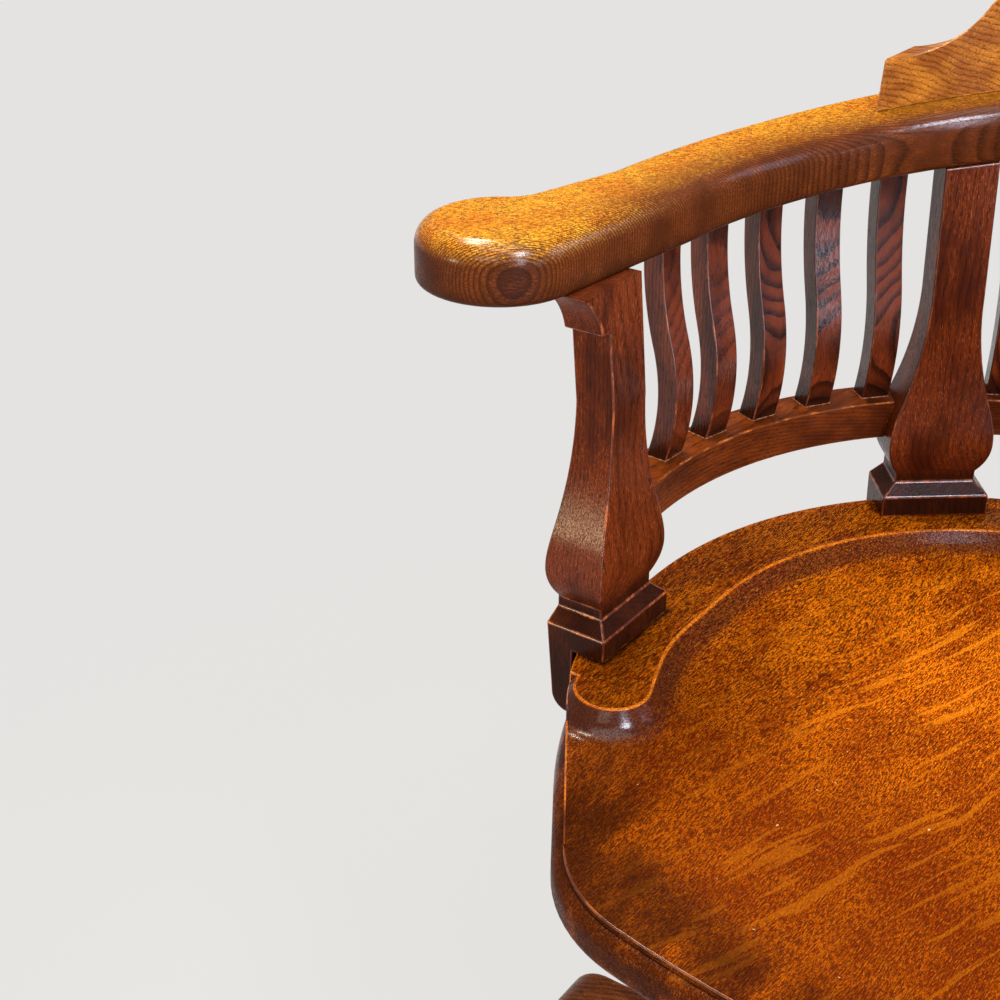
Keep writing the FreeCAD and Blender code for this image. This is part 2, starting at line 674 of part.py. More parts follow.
def in_notch(edge):
    """Is this the upright edge where the arm meets its paddle?"""
    point = middle(edge)
    angle = math.radians(number("notch_angle"))
    x = -number("paddle_offset") + number("paddle_radius") * math.cos(angle)
    y = -number("paddle_forward") + number("paddle_radius") * math.sin(angle)
    return math.hypot(point.x - x, point.y - y) < 1


def on_level(offset):
    """A test for arm edges that lie on the board's face at a height over its underside."""
    start, radius = number("arm_level_end"), number("arm_lift_radius")
    base = number("seat_height + arm_low")

    def picked(edge):
        if edge.BoundBox.YLength < 0.01 and abs(middle(edge).x) < number("arm_outer"):
            return False
        ends = [edge.valueAt(edge.FirstParameter), middle(edge), edge.valueAt(edge.LastParameter)]
        if max(abs(point.x) for point in ends) < 0.01:
            return False
        for point in ends:
            over = max(point.y - start, 0)
            level = base + radius - math.sqrt((radius - offset) ** 2 - over ** 2)
            if abs(point.z - level) > 0.05:
                return False
        return True

    return picked


arm_notched = rounded("arm_notched", sawn_arm, "notch_round", in_notch)
arm_top = rounded("arm_top_rounded", arm_notched, "arm_top_round",
                  on_level(number("arm_thickness")))
arm_bottom = rounded("arm_bottom_rounded", arm_top, "arm_bottom_round", on_level(0))
left_arm = cut("left_arm_piece", arm_bottom, [dowels["100"], dowels["120"]])
keep("left_arm", left_arm)
keep("right_arm", mirrored("right_arm_piece", left_arm))


# Crest rail: a bowed, leaning board glued and dowelled on top of the arms at the back

lean_shift = "crest_height * 1.6 * tan(crest_lean)"
crest_foot = "(seat_height + arm_low)"
crest_head = "(seat_height + arm_low + arm_thickness + crest_height * 1.6)"
crest_bow = turned("crest_bow", [
    ("crest_radius - crest_thickness / 2", crest_foot),
    ("crest_radius + crest_thickness / 2", crest_foot),
    ("crest_radius + crest_thickness / 2 + " + lean_shift, crest_head),
    ("crest_radius - crest_thickness / 2 + " + lean_shift, crest_head),
], "150")
place(crest_bow, turn="15")
back_top = ("(seat_height + arm_low + arm_lift_radius - sqrt((arm_lift_radius - arm_thickness)"
            " * (arm_lift_radius - arm_thickness) - (crest_radius - arm_level_end)"
            " * (crest_radius - arm_level_end)))")
rise = "(0.78 * crest_height)"
ogee = "(2 * atan(({0} - crest_end) / (crest_half_width - crest_shoulder)))".format(rise)
ogee_radius = "((crest_half_width - crest_shoulder) / 2 / sin(%s))" % ogee
ogee_x = "((crest_half_width + crest_shoulder) / 2)"
ogee_z = "(%s + (%s + crest_end) / 2)" % (back_top, rise)
arch = ("((crest_shoulder * crest_shoulder + (crest_height - {0}) * (crest_height - {0}))"
        " / (2 * (crest_height - {0})))").format(rise)
crest_view = pad("crest_front_view", "XZ_Plane", [
    ("-crest_half_width", crest_foot),
    ("crest_half_width", crest_foot),
    ("crest_half_width", back_top + " + crest_end", "right", ogee_radius),
    (ogee_x, ogee_z, "left", ogee_radius),
    ("crest_shoulder", "%s + %s" % (back_top, rise), "left", arch),
    ("-crest_shoulder", "%s + %s" % (back_top, rise), "left", ogee_radius),
    ("-" + ogee_x, ogee_z, "right", ogee_radius),
    ("-crest_half_width", back_top + " + crest_end"),
], "4 * seat_radius", True)
crest_block = common("crest_sawn", [crest_bow, crest_view])
under_crest = arm_band("under_crest", "-3 * arm_thickness", "arm_thickness")
crest_fitted = cut("crest_fitted", crest_block, [under_crest] + list(dowels.values()))
keep("crest_rail", crest_fitted)


# Seat iron: a plate screwed under the seat, with pivot ears, rod lugs and a rest stop

PLATE_LOW = "(seat_low - iron_plate)"
PIVOT_Y = "(-pivot_forward)"
ROD_Y = "(-pivot_forward - bar_forward)"
EAR_X = "((ear_gap + ear_thickness) / 2)"


def lug(name, x, thickness, y, radius):
    """A round-ended lug hanging from the plate down to the height of the pivot."""
    web = box(name + "_web", thickness, "2 * (%s)" % radius, PLATE_LOW + " - pivot_level",
              x, y, "pivot_level")
    end = rod(name + "_end", radius, thickness, x, y, "pivot_level", "X")
    return fuse(name, [web, end])


plate_y = "(iron_rear - iron_length / 2)"
iron_pieces = [box("iron_plate_piece", "iron_width", "iron_length", "iron_plate", "0", plate_y,
                   PLATE_LOW)]
iron_bores = [rod("ear_bore", "pin_radius", "2 * iron_width", "0", PIVOT_Y, "pivot_level", "X")]
for side, sign in SIDES.items():
    iron_pieces.append(lug("pivot_ear_" + side, "%s * %s" % (sign, EAR_X), "ear_thickness",
                           PIVOT_Y, "ear_radius"))
    for place_name, way in (("in", "-1"), ("out", "1")):
        x = "%s * rod_spacing / 2 + %s * (rod_radius + hook_fit + lug_thickness / 2)" % (sign, way)
        iron_pieces.append(lug("rod_lug_%s_%s" % (place_name, side), x, "lug_thickness", ROD_Y,
                               "rod_head_radius + lug_thickness / 2"))
    iron_bores.append(rod("hook_bore_" + side, "rod_head_radius + pin_fit", "4 * lug_thickness",
                          "%s * rod_spacing / 2" % sign, ROD_Y, "pivot_level", "X"))
iron_pieces.append(box("iron_front_lip", "rod_spacing + 4 * lug_thickness", "2 * lug_thickness",
                       "iron_plate", "0", ROD_Y, PLATE_LOW))
iron_pieces.append(box("rest_stop", "stop_width", "2 * lug_thickness",
                       PLATE_LOW + " - bar_low - bar_height - stop_gap + 1", "0", ROD_Y,
                       "bar_low + bar_height + stop_gap"))
screw_places = [("%s * (iron_width / 2 - iron_screw_edge)" % sign, y)
                for sign in SIDES.values()
                for y in ("iron_rear - iron_screw_end", "iron_rear - iron_length / 2",
                          "iron_rear - iron_length + iron_screw_end")]
iron_holes = [rod("iron_hole_%d" % count, "iron_screw_radius", "iron_plate + 2", x, y,
                  PLATE_LOW + " - 1")
              for count, (x, y) in enumerate(screw_places, start=1)]
keep("seat_iron", cut("seat_iron_casting", fuse("seat_iron_solid", iron_pieces),
                      iron_bores + iron_holes))

iron_screws = []
for count, (x, y) in enumerate(screw_places, start=1):
    shank = rod("iron_screw_shank_%d" % count, "iron_screw_radius", "iron_screw_length", x, y,
                PLATE_LOW)
    head = bind(doc.addObject("Part::Sphere", "iron_screw_head_%d" % count),
                Radius="2 * iron_screw_radius")
    head.Angle1, head.Angle2 = -90, 0
    place(head, x, y, PLATE_LOW)
    flat = bind(doc.addObject("Part::Cylinder", "iron_screw_dome_%d" % count),
                Radius="2 * iron_screw_radius", Height="iron_screw_radius")
    place(flat, x, y, PLATE_LOW + " - iron_screw_radius")
    iron_screws.append(fuse("iron_screw_%d" % count,
                            [shank, common("iron_screw_cap_%d" % count, [head, flat])]))
keep("seat_iron_screws", group("seat_iron_screw_set", iron_screws))
keep("seat", cut("seat_piece", hollowed, notches + list(post_screws.values()) + iron_screws))


# Yoke: the casting on the spindle's head, with the pivot barrel and the spring bar

BARREL = "(ear_gap - 2 * barrel_clearance)"
BAR_TOP = "(bar_low + bar_height)"
yoke_pieces = [
    rod("yoke_boss", "boss_radius", "boss_height", "0", "0", "boss_low"),
    rod("yoke_barrel", "barrel_radius", BARREL, "0", PIVOT_Y, "pivot_level", "X"),
    box("yoke_neck", "yoke_web", "2 * barrel_radius", "pivot_level - boss_low - boss_height + 10",
        "0", PIVOT_Y, "boss_low + boss_height - 10"),
    box("yoke_bar", "bar_length", "bar_depth", "bar_height", "0", ROD_Y, "bar_low"),
    box("yoke_beam", "yoke_web", "bar_forward", "bar_height", "0",
        "(-pivot_forward - bar_forward / 2)", "bar_low"),
    box("yoke_rib", "arm_rib", "bar_forward - bar_depth / 2 - barrel_radius / 2",
        "pivot_level - bar_low - 12", "0",
        "(-pivot_forward - bar_forward / 2 + bar_depth / 4 - barrel_radius / 4)", "bar_low"),
]
yoke_bores = [
    rod("yoke_spindle_bore", "spindle_radius", "boss_height", "0", "0", "boss_low - 6"),
    rod("yoke_pin_bore", "pin_radius + pin_fit", "2 * ear_gap", "0", PIVOT_Y, "pivot_level", "X"),
]
for side, sign in SIDES.items():
    x = "%s * rod_spacing / 2" % sign
    slot = "(rod_radius + hook_fit)"
    yoke_bores += [
        rod("slot_front_" + side, slot, "bar_height + 2", x, ROD_Y + " - hook_fit", "bar_low - 1"),
        rod("slot_back_" + side, slot, "bar_height + 2", x, ROD_Y + " + rod_slot", "bar_low - 1"),
        box("slot_middle_" + side, "2 * " + slot, "rod_slot + hook_fit", "bar_height + 2", x,
            ROD_Y + " + (rod_slot - hook_fit) / 2", "bar_low - 1"),
    ]
keep("yoke", cut("yoke_casting", fuse("yoke_solid", yoke_pieces), yoke_bores))

pin_length = "ear_gap + 2 * ear_thickness + 12"
pin_shank = rod("pivot_pin_shank", "pin_radius", pin_length, "0", PIVOT_Y, "pivot_level", "X")
pin_head = rod("pivot_pin_head", "pin_radius + 3", "4", "-(%s) / 2" % pin_length, PIVOT_Y,
               "pivot_level", "X")
pin_end = rod("pivot_pin_end", "pin_radius + 2", "3", "(%s) / 2" % pin_length, PIVOT_Y,
              "pivot_level", "X")
keep("pivot_pin", fuse("pivot_pin_piece", [pin_shank, pin_head, pin_end]))


# Tie rods: T-headed rods that hang in the seat iron's lugs and pass through the spring bar

SPRING_TOP = "(bar_low - spring_seat)"
SPRING_LOW = "(bar_low - spring_seat - spring_length)"
for side, sign in SIDES.items():
    x = "%s * rod_spacing / 2" % sign
    head_length = "2 * (rod_radius + hook_fit + lug_thickness) - 2"
    shank = rod("tie_rod_shank_" + side, "rod_radius", "rod_length", x, ROD_Y,
                "pivot_level - rod_length")
    head = rod("tie_rod_head_" + side, "rod_head_radius", head_length, x, ROD_Y, "pivot_level",
               "X")
    tie_rod = keep("tie_rod_" + side, fuse("tie_rod_piece_" + side, [shank, head]))
    flange_low = SPRING_LOW + " - spring_seat - nut_flange_height"
    flange = rod("nut_flange_" + side, "nut_flange", "nut_flange_height", x, ROD_Y, flange_low)
    hexagon = bind(doc.addObject("Part::Prism", "nut_hexagon_" + side),
                   Circumradius="nut_radius", Height="nut_height")
    hexagon.Polygon = 6
    place(hexagon, x, ROD_Y, flange_low + " - nut_height")
    keep("tension_nut_" + side,
         cut("tension_nut_piece_" + side, fuse("nut_solid_" + side, [flange, hexagon]),
             [rod("nut_bore_" + side, "rod_radius", "2 * rod_length", x, ROD_Y,
                  flange_low + " - rod_length")]))


# Coil springs: closed end turns, open turns between, each wound as one wire

def coil_height(turns):
    """Height of the wire's middle after so many turns, from the lower end."""
    close, total = number("spring_end_pitch"), number("spring_turns") + 2
    length = number("spring_length") - 2 * number("spring_wire")
    open_pitch = (length - close * 2) / (total - 2)
    blend = 0.25

    def slope(at):
        inside = min(at, total - at)
        share = min(max((inside - 1 + blend) / (2 * blend), 0), 1)
        share = share * share * (3 - 2 * share)
        return close + (open_pitch - close) * share

    steps = max(int(round(turns * 16)), 1)
    step = turns / steps
    return sum(slope((index + 0.5) * step) for index in range(steps)) * step, slope(turns)


def coil_edges():
    """The wire's path as two tangent arcs for each quarter turn."""
    total, radius = number("spring_turns") + 2, number("spring_radius")
    knots = []
    for index in range(int(total * 4) + 1):
        turns = index / 4
        angle = 2 * math.pi * turns
        height, pitch = coil_height(turns) if turns else (0.0, coil_height(0.01)[1])
        point = Vector(radius * math.cos(angle), radius * math.sin(angle), height)
        tangent = Vector(-math.sin(angle), math.cos(angle), pitch / (2 * math.pi * radius))
        knots.append((point, tangent.normalize()))
    edges, samples = [], []
    for (start, out), (end, into) in zip(knots, knots[1:]):
        chord, sway = end - start, out + into
        spread = 4 - sway.dot(sway)
        reach = (-chord.dot(sway) + math.sqrt(chord.dot(sway) ** 2
                                              + spread * chord.dot(chord))) / spread
        first, second = start + out * reach, end - into * reach
        join = (first + second) * 0.5
        for near, control, far in ((start, first, join), (join, second, end)):
            half = (near + far) * 0.5
            rise = (control - half).Length / ((far - near).Length / 2)
            angle = math.atan(rise)
            crest = half + (control - half) * (math.tan(angle / 2) / math.tan(angle))
            arc = Part.Arc(near, crest, far)
            edges.append(arc.toShape())
            samples += [arc.value(arc.FirstParameter + (arc.LastParameter - arc.FirstParameter)
                                  * share) for share in (0, 0.5)]
    return edges, samples


def coil():
    """One coil spring standing on the origin, its axis along Z."""
    edges, samples = coil_edges()
    radius = number("spring_wire")
    start = edges[0].valueAt(edges[0].FirstParameter)
    heading = edges[0].tangentAt(edges[0].FirstParameter)
    section = Part.Wire(Part.makeCircle(radius, start, heading))
    tube = Part.Wire(edges).makePipeShell([section], True, False)
    per_turn = 16
    gap = min(samples[index].distanceToPoint(samples[other])
              for index in range(len(samples))
              for other in range(index + per_turn // 2, len(samples))) - 2 * radius
    print("spring: least gap between turns %.2f mm" % gap)
    return tube


coil_shape = coil()
for side, sign in SIDES.items():
    spring = feature("spring_" + side + "_piece", coil_shape)
    place(spring, "%s * rod_spacing / 2" % sign, ROD_Y, SPRING_LOW + " + spring_wire")
    keep("spring_" + side, spring)


# Spindle, keyed bush, hand wheel and hub socket

HOLE_LOW = "(hub_block_low + 12)"
COLLAR_LOW = "(%s + spindle_gap)" % HOLE_LOW
BUSH_LOW = "(%s + collar_height + height_travel + travel_spare)" % COLLAR_LOW

spindle_solid = fuse("spindle_solid", [
    rod("spindle_shank", "spindle_radius", "boss_low + boss_height - 6 - %s" % COLLAR_LOW, "0",
        "0", COLLAR_LOW),
    rod("spindle_collar", "collar_radius", "collar_height", "0", "0", COLLAR_LOW),
])
keyway = box("spindle_keyway", "key_width", "key_depth",
             "boss_low - %s - collar_height" % COLLAR_LOW, "0",
             "spindle_radius - key_depth / 2 + 0.01", COLLAR_LOW + " + collar_height")
keep("spindle", cut("spindle_piece", spindle_solid, [keyway]))

bush_solid = fuse("bush_solid", [
    rod("bush_sleeve", "bush_radius", "bush_flange_low - " + BUSH_LOW, "0", "0", BUSH_LOW),
    rod("bush_flange_disc", "bush_flange", "bush_flange_height", "0", "0", "bush_flange_low"),
])
bush_bored = cut("bush_bored", bush_solid, [
    rod("bush_bore", "spindle_radius + spindle_fit", "2 * hub_top", "0", "0", "0")])
bush_key = box("bush_key", "key_width - 2 * key_fit", "key_depth - key_fit + 1",
               "bush_flange_low - %s + bush_flange_height" % BUSH_LOW, "0",
               "spindle_radius - (key_depth - key_fit) / 2 + 0.5", BUSH_LOW)
keep("swivel_bush", fuse("swivel_bush_piece", [bush_bored, bush_key]))

wheel_middle = "wheel_low + wheel_height / 2"
rim = bind(doc.addObject("Part::Torus", "hand_wheel_rim"),
           Radius1="wheel_radius - wheel_rim", Radius2="wheel_rim")
place(rim, "0", "0", wheel_middle)
wheel_pieces = [rim, rod("hand_wheel_hub", "wheel_hub", "wheel_height", "0", "0", "wheel_low")]
for index in range(int(number("spoke_count"))):
    spoke = bind(doc.addObject("Part::Cylinder", "hand_wheel_spoke_%d" % index),
                 Radius="spoke_radius", Height="wheel_radius - wheel_rim")
    spoke.Placement = Placement(Vector(), Rotation(Vector(0, 0, 1), 360 * index
                                                   / number("spoke_count"))
                                * Rotation(Vector(0, 1, 0), 90))
    bind(spoke, Placement__Base__z=wheel_middle)
    wheel_pieces.append(spoke)
keep("hand_wheel", cut("hand_wheel_piece", fuse("hand_wheel_solid", wheel_pieces), [
    rod("hand_wheel_bore", "spindle_radius + spindle_fit", "2 * hub_top", "0", "0", "0")]))

socket_solid = fuse("hub_socket_solid", [
    rod("hub_socket_tube", "socket_radius", "hub_top - %s" % HOLE_LOW, "0", "0", HOLE_LOW),
    rod("hub_socket_flange", "socket_flange", "socket_flange_height", "0", "0", "hub_top"),
])
hub_screw_places = [("hub_screw_circle * cos(%d)" % angle, "hub_screw_circle * sin(%d)" % angle)
                    for angle in (45, 135, 225, 315)]
socket_bores = [rod("hub_socket_bore", "bush_radius + bush_fit", "2 * hub_top", "0", "0", "0")]
socket_bores += [rod("flange_hole_%d" % count, "hub_screw_radius", "socket_flange_height + 2",
                     x, y, "hub_top - 1")
                 for count, (x, y) in enumerate(hub_screw_places, start=1)]
keep("hub_socket", cut("hub_socket_piece", socket_solid, socket_bores))

hub_screw_pieces = []
for count, (x, y) in enumerate(hub_screw_places, start=1):
    top = "hub_top + socket_flange_height"
    countersunk = bind(doc.addObject("Part::Cylinder", "hub_screw_%d" % count),
                       Radius="hub_screw_radius", Height="hub_screw_length")
    place(countersunk, x, y, top + " - hub_screw_length")
    hub_screw_pieces.append(countersunk)
keep("hub_screws", group("hub_screw_set", hub_screw_pieces))


# Hub: a turned oak column with a square block for the legs

neck_low = "(hub_block_high + 8)"
column = turned("hub_turning", [
    ("0", "hub_drop"),
    ("hub_drop_radius * 0.6", "hub_drop", "left", "hub_drop_radius * 0.8"),
    ("hub_drop_radius", "hub_drop + hub_drop_radius * 0.55"),
    ("hub_block / 2 - 4", "hub_block_low + 2"),
    ("hub_block / 2 - 2", neck_low),
    ("hub_neck", "hub_block_high + 18", "right", "40"),
    ("hub_neck + 2", "hub_top - 20"),
    ("hub_cap", "hub_top - 14", "left", "8"),
    ("hub_cap", "hub_top - 3"),
    ("hub_cap - 3", "hub_top"),
    ("0", "hub_top"),
])
hub_square = box("hub_square", "hub_block", "hub_block", "hub_block_high - hub_block_low", "0", "0",
                 "hub_block_low")
socket_hole = rod("hub_socket_hole", "socket_radius", "hub_top - %s + 1" % HOLE_LOW, "0", "0",
                  HOLE_LOW)
PEG_X = "(hub_block / 2 - peg_length / 2 + 35)"
LEGS = {"front": "270", "right": "0", "back": "90", "left": "180"}
leg_pegs = []
for side, turn in LEGS.items():
    for count, way in enumerate(("-1", "1"), start=1):
        level = "(leg_root_low + leg_root_high) / 2 + %s * peg_spacing / 2" % way
        peg = rod("leg_peg_piece_%s_%d" % (side, count), "peg_radius", "peg_length", PEG_X, "0",
                  level, "X")
        leg_pegs.append(place(group("leg_peg_%s_%d" % (side, count), [peg]), turn=turn))
keep("leg_pegs", group("leg_peg_set", leg_pegs))
keep("hub", cut("hub_piece", fuse("hub_solid", [column, hub_square]),
                [socket_hole] + hub_screw_pieces + leg_pegs))


# Legs: four sawn and rounded legs, each butted on one face of the hub's block

def leg(name, turn):
    """One leg: an ogee top edge down to a flat-bottomed foot over the castor."""
    run, fall = "(foot_crown - hub_block / 2)", "(leg_root_high - foot_high)"
    ogee_turn = "(2 * atan(%s / %s))" % (fall, run)
    total = "(%s / sin(%s))" % (run, ogee_turn)
    knee_x = "(hub_block / 2 + leg_knee * sin(%s))" % ogee_turn
    knee_z = "(leg_root_high - leg_knee * (1 - cos(%s)))" % ogee_turn
    toe = "(foot_high - foot_low)"
    corners = [
        ("hub_block / 2", "leg_root_low", "right", "leg_sag"),
        ("foot_inner", "foot_low"),
        ("foot_crown + " + toe, "foot_low", "left", toe),
        ("foot_crown", "foot_high", "right", "(%s - leg_knee)" % total),
        (knee_x, knee_z, "left", "leg_knee"),
        ("hub_block / 2", "leg_root_high"),
    ]
    body = pad(name + "_sawn", "XZ_Plane", corners, "leg_width", True)
    sag = number("leg_sag")

    def picked(edge):
        return edge.Curve.TypeId == "Part::GeomCircle" and edge.Curve.Radius < sag - 1

    leg_rounded = rounded(name + "_rounded", body, "leg_round", picked)
    peg_holes = [rod("%s_peg_hole_%d" % (name, count), "peg_radius", "peg_length", PEG_X, "0",
                     "(leg_root_low + leg_root_high) / 2 + %s * peg_spacing / 2" % way, "X")
                 for count, way in enumerate(("-1", "1"), start=1)]
    stem_hole = rod(name + "_stem_hole", "stem_radius + stem_fit + socket_wall",
                    "stem_length", "castor_circle", "0", "foot_low - 1")
    return place(cut(name + "_piece", leg_rounded, peg_holes + [stem_hole]), turn=turn)


castor_socket_pieces = []
for side, turn in LEGS.items():
    keep("leg_" + side, leg("leg_" + side, turn))
    tube = rod("castor_tube_" + side, "stem_radius + stem_fit + socket_wall", "stem_length - 1",
               "castor_circle", "0", "foot_low")
    flange = rod("castor_flange_" + side, "castor_plate", "castor_plate_height", "castor_circle",
                 "0", "foot_low - castor_plate_height")
    bore = rod("castor_bore_" + side, "stem_radius + stem_fit", "stem_length + 4",
               "castor_circle", "0", "foot_low - castor_plate_height - 1")
    sleeve = cut("castor_sleeve_" + side, fuse("castor_sleeve_solid_" + side, [tube, flange]),
                 [bore])
    castor_socket_pieces.append(place(group("castor_socket_" + side, [sleeve]), turn=turn))
keep("castor_sockets", group("castor_socket_set", castor_socket_pieces))


# Castors: a forked horn on a stem, its riveted axle, and a turned wheel

AXLE_X = "(castor_circle + castor_trail)"
CROWN_LOW = "(2 * castor_wheel + crown_clearance)"
for side, turn in LEGS.items():
    horns = []
    for way, sign in SIDES.items():
        y = "%s * (fork_gap + fork_plate) / 2" % sign
        horn = pad("horn_%s_%s" % (side, way), "XZ_Plane", [
            ("castor_circle - fork_depth / 2", CROWN_LOW + " + fork_crown"),
            ("castor_circle - fork_depth / 2", CROWN_LOW),
            (AXLE_X + " - castor_axle * 2", "castor_wheel", "left", "castor_axle * 2"),
            (AXLE_X, "castor_wheel - castor_axle * 2", "left", "castor_axle * 2"),
            (AXLE_X + " + castor_axle * 2", "castor_wheel"),
            ("castor_circle + fork_depth / 2", CROWN_LOW + " + fork_crown"),
        ], "fork_plate", True)
        horns.append(place(horn, "0", y))
    crown = box("fork_crown_" + side, "fork_depth", "fork_gap + 2 * fork_plate", "fork_crown",
                "castor_circle", "0", CROWN_LOW)
    stem = rod("fork_stem_" + side, "stem_radius",
               "foot_low + stem_length - 4 - %s" % CROWN_LOW, "castor_circle", "0", CROWN_LOW)
    axle = rod("fork_axle_" + side, "castor_axle", "fork_gap + 2 * fork_plate + 3", AXLE_X, "0",
               "castor_wheel", "Y")
    fork = fuse("castor_fork_%s_piece" % side, horns + [crown, stem, axle])
    keep("castor_fork_" + side, place(fork, turn=turn))
    tread = rod("castor_tread_" + side, "castor_wheel", "tread_width", AXLE_X, "0",
                "castor_wheel", "Y")
    tread_round = rounded("castor_tread_round_" + side, tread, "tread_round",
                          lambda edge: edge.Closed and edge.Length > 4 * number("castor_wheel"))
    axle_bore = rod("castor_wheel_bore_" + side, "castor_axle + axle_fit", "2 * tread_width",
                    AXLE_X, "0", "castor_wheel", "Y")
    wheel = cut("castor_wheel_%s_piece" % side, tread_round, [axle_bore])
    keep("castor_wheel_" + side, place(wheel, turn=turn))


# Finish: recompute, test every object and shape, and write one file for each sub-part

doc.recompute()
failed = [thing.Label for thing in doc.Objects
          if "Invalid" in thing.State or "Error" in thing.State]
if failed:
    raise RuntimeError("failed objects: " + ", ".join(failed))
for name, thing in parts.items():
    if thing.Shape.isNull() or not thing.Shape.isValid():
        raise RuntimeError("bad shape: " + name)

os.makedirs("parts", exist_ok=True)
for name, thing in parts.items():
    thing.Shape.exportStep(os.path.join("parts", name + ".step"))
print("%d sub-parts written" % len(parts))
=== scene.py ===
import math
import random

import bmesh
import bpy
from mathutils import Matrix, Vector


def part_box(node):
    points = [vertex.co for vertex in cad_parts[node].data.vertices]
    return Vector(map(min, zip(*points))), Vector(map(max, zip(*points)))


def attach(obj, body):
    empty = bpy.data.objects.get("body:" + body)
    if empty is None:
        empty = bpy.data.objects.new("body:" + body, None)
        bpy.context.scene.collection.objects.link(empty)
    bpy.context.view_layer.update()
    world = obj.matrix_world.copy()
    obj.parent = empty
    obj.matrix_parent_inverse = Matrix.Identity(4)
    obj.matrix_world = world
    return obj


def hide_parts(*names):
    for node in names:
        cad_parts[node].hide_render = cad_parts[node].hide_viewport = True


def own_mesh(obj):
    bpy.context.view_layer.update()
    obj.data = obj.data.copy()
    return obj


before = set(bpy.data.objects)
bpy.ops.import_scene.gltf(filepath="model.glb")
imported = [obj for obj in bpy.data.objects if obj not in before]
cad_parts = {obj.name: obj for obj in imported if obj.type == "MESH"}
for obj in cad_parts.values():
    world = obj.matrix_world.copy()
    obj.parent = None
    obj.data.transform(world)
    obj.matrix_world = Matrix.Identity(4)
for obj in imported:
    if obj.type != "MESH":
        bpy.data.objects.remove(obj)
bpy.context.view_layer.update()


# Hub: the turned oak column in the middle of the base, with the square block that the legs are
# pegged to. It is dark, dull old oak: fumed, stained and handled less than the seat and arms.

class Value:
    """A node's socket that can stand in a sum, so that shader maths reads as plain Python."""

    def __init__(self, bench, socket):
        self.bench, self.socket = bench, socket

    def worked(self, operation, *others):
        sockets = dict(enumerate((self,) + others))
        return self.bench.add("ShaderNodeMath", {"operation": operation}, sockets)

    def __add__(self, other):
        return self.worked("ADD", other)

    __radd__ = __add__

    def __sub__(self, other):
        return self.worked("SUBTRACT", other)

    def __rsub__(self, other):
        return self.bench.add("ShaderNodeMath", {"operation": "SUBTRACT"}, {0: other, 1: self})

    def __mul__(self, other):
        return self.worked("MULTIPLY", other)

    __rmul__ = __mul__

    def __truediv__(self, other):
        return self.worked("DIVIDE", other)

    def fraction(self):
        return self.worked("FRACT")

    def root(self):
        return self.worked("SQRT")

    def absolute(self):
        return self.worked("ABSOLUTE")

    def larger(self, other):
        return self.worked("MAXIMUM", other)

    def ramp(self, low, high):
        """0 up to low and 1 past high, or the other way round where low is the higher one."""
        flip = low > high
        sockets = {"Value": self, "From Min": min(low, high), "From Max": max(low, high),
                   "To Min": 1.0 if flip else 0.0, "To Max": 0.0 if flip else 1.0}
        return self.bench.add("ShaderNodeMapRange", {"interpolation_type": "SMOOTHSTEP"}, sockets)


class Bench:
    """A node tree under construction."""

    def __init__(self, tree):
        self.tree = tree

    def add(self, kind, settings=None, sockets=None, output=0):
        """One node: its settings first, then the values or links of its sockets."""
        made = self.tree.nodes.new(kind)
        for word, setting in (settings or {}).items():
            setattr(made, word, setting)
        for key, value in (sockets or {}).items():
            if isinstance(value, Value):
                self.tree.links.new(value.socket, made.inputs[key])
            elif isinstance(value, list):
                for each in reversed(value):
                    self.tree.links.new(each.socket, made.inputs[key])
            elif isinstance(value, tuple) and len(value) == 3 and made.inputs[key].type == "RGBA":
                made.inputs[key].default_value = value + (1.0,)
            else:
                made.inputs[key].default_value = value
        return Value(self, made.outputs[output]) if made.outputs else made

    def joined(self, x, y, z):
        """Three numbers as a vector."""
        return self.add("ShaderNodeCombineXYZ", None, {0: x, 1: y, 2: z})


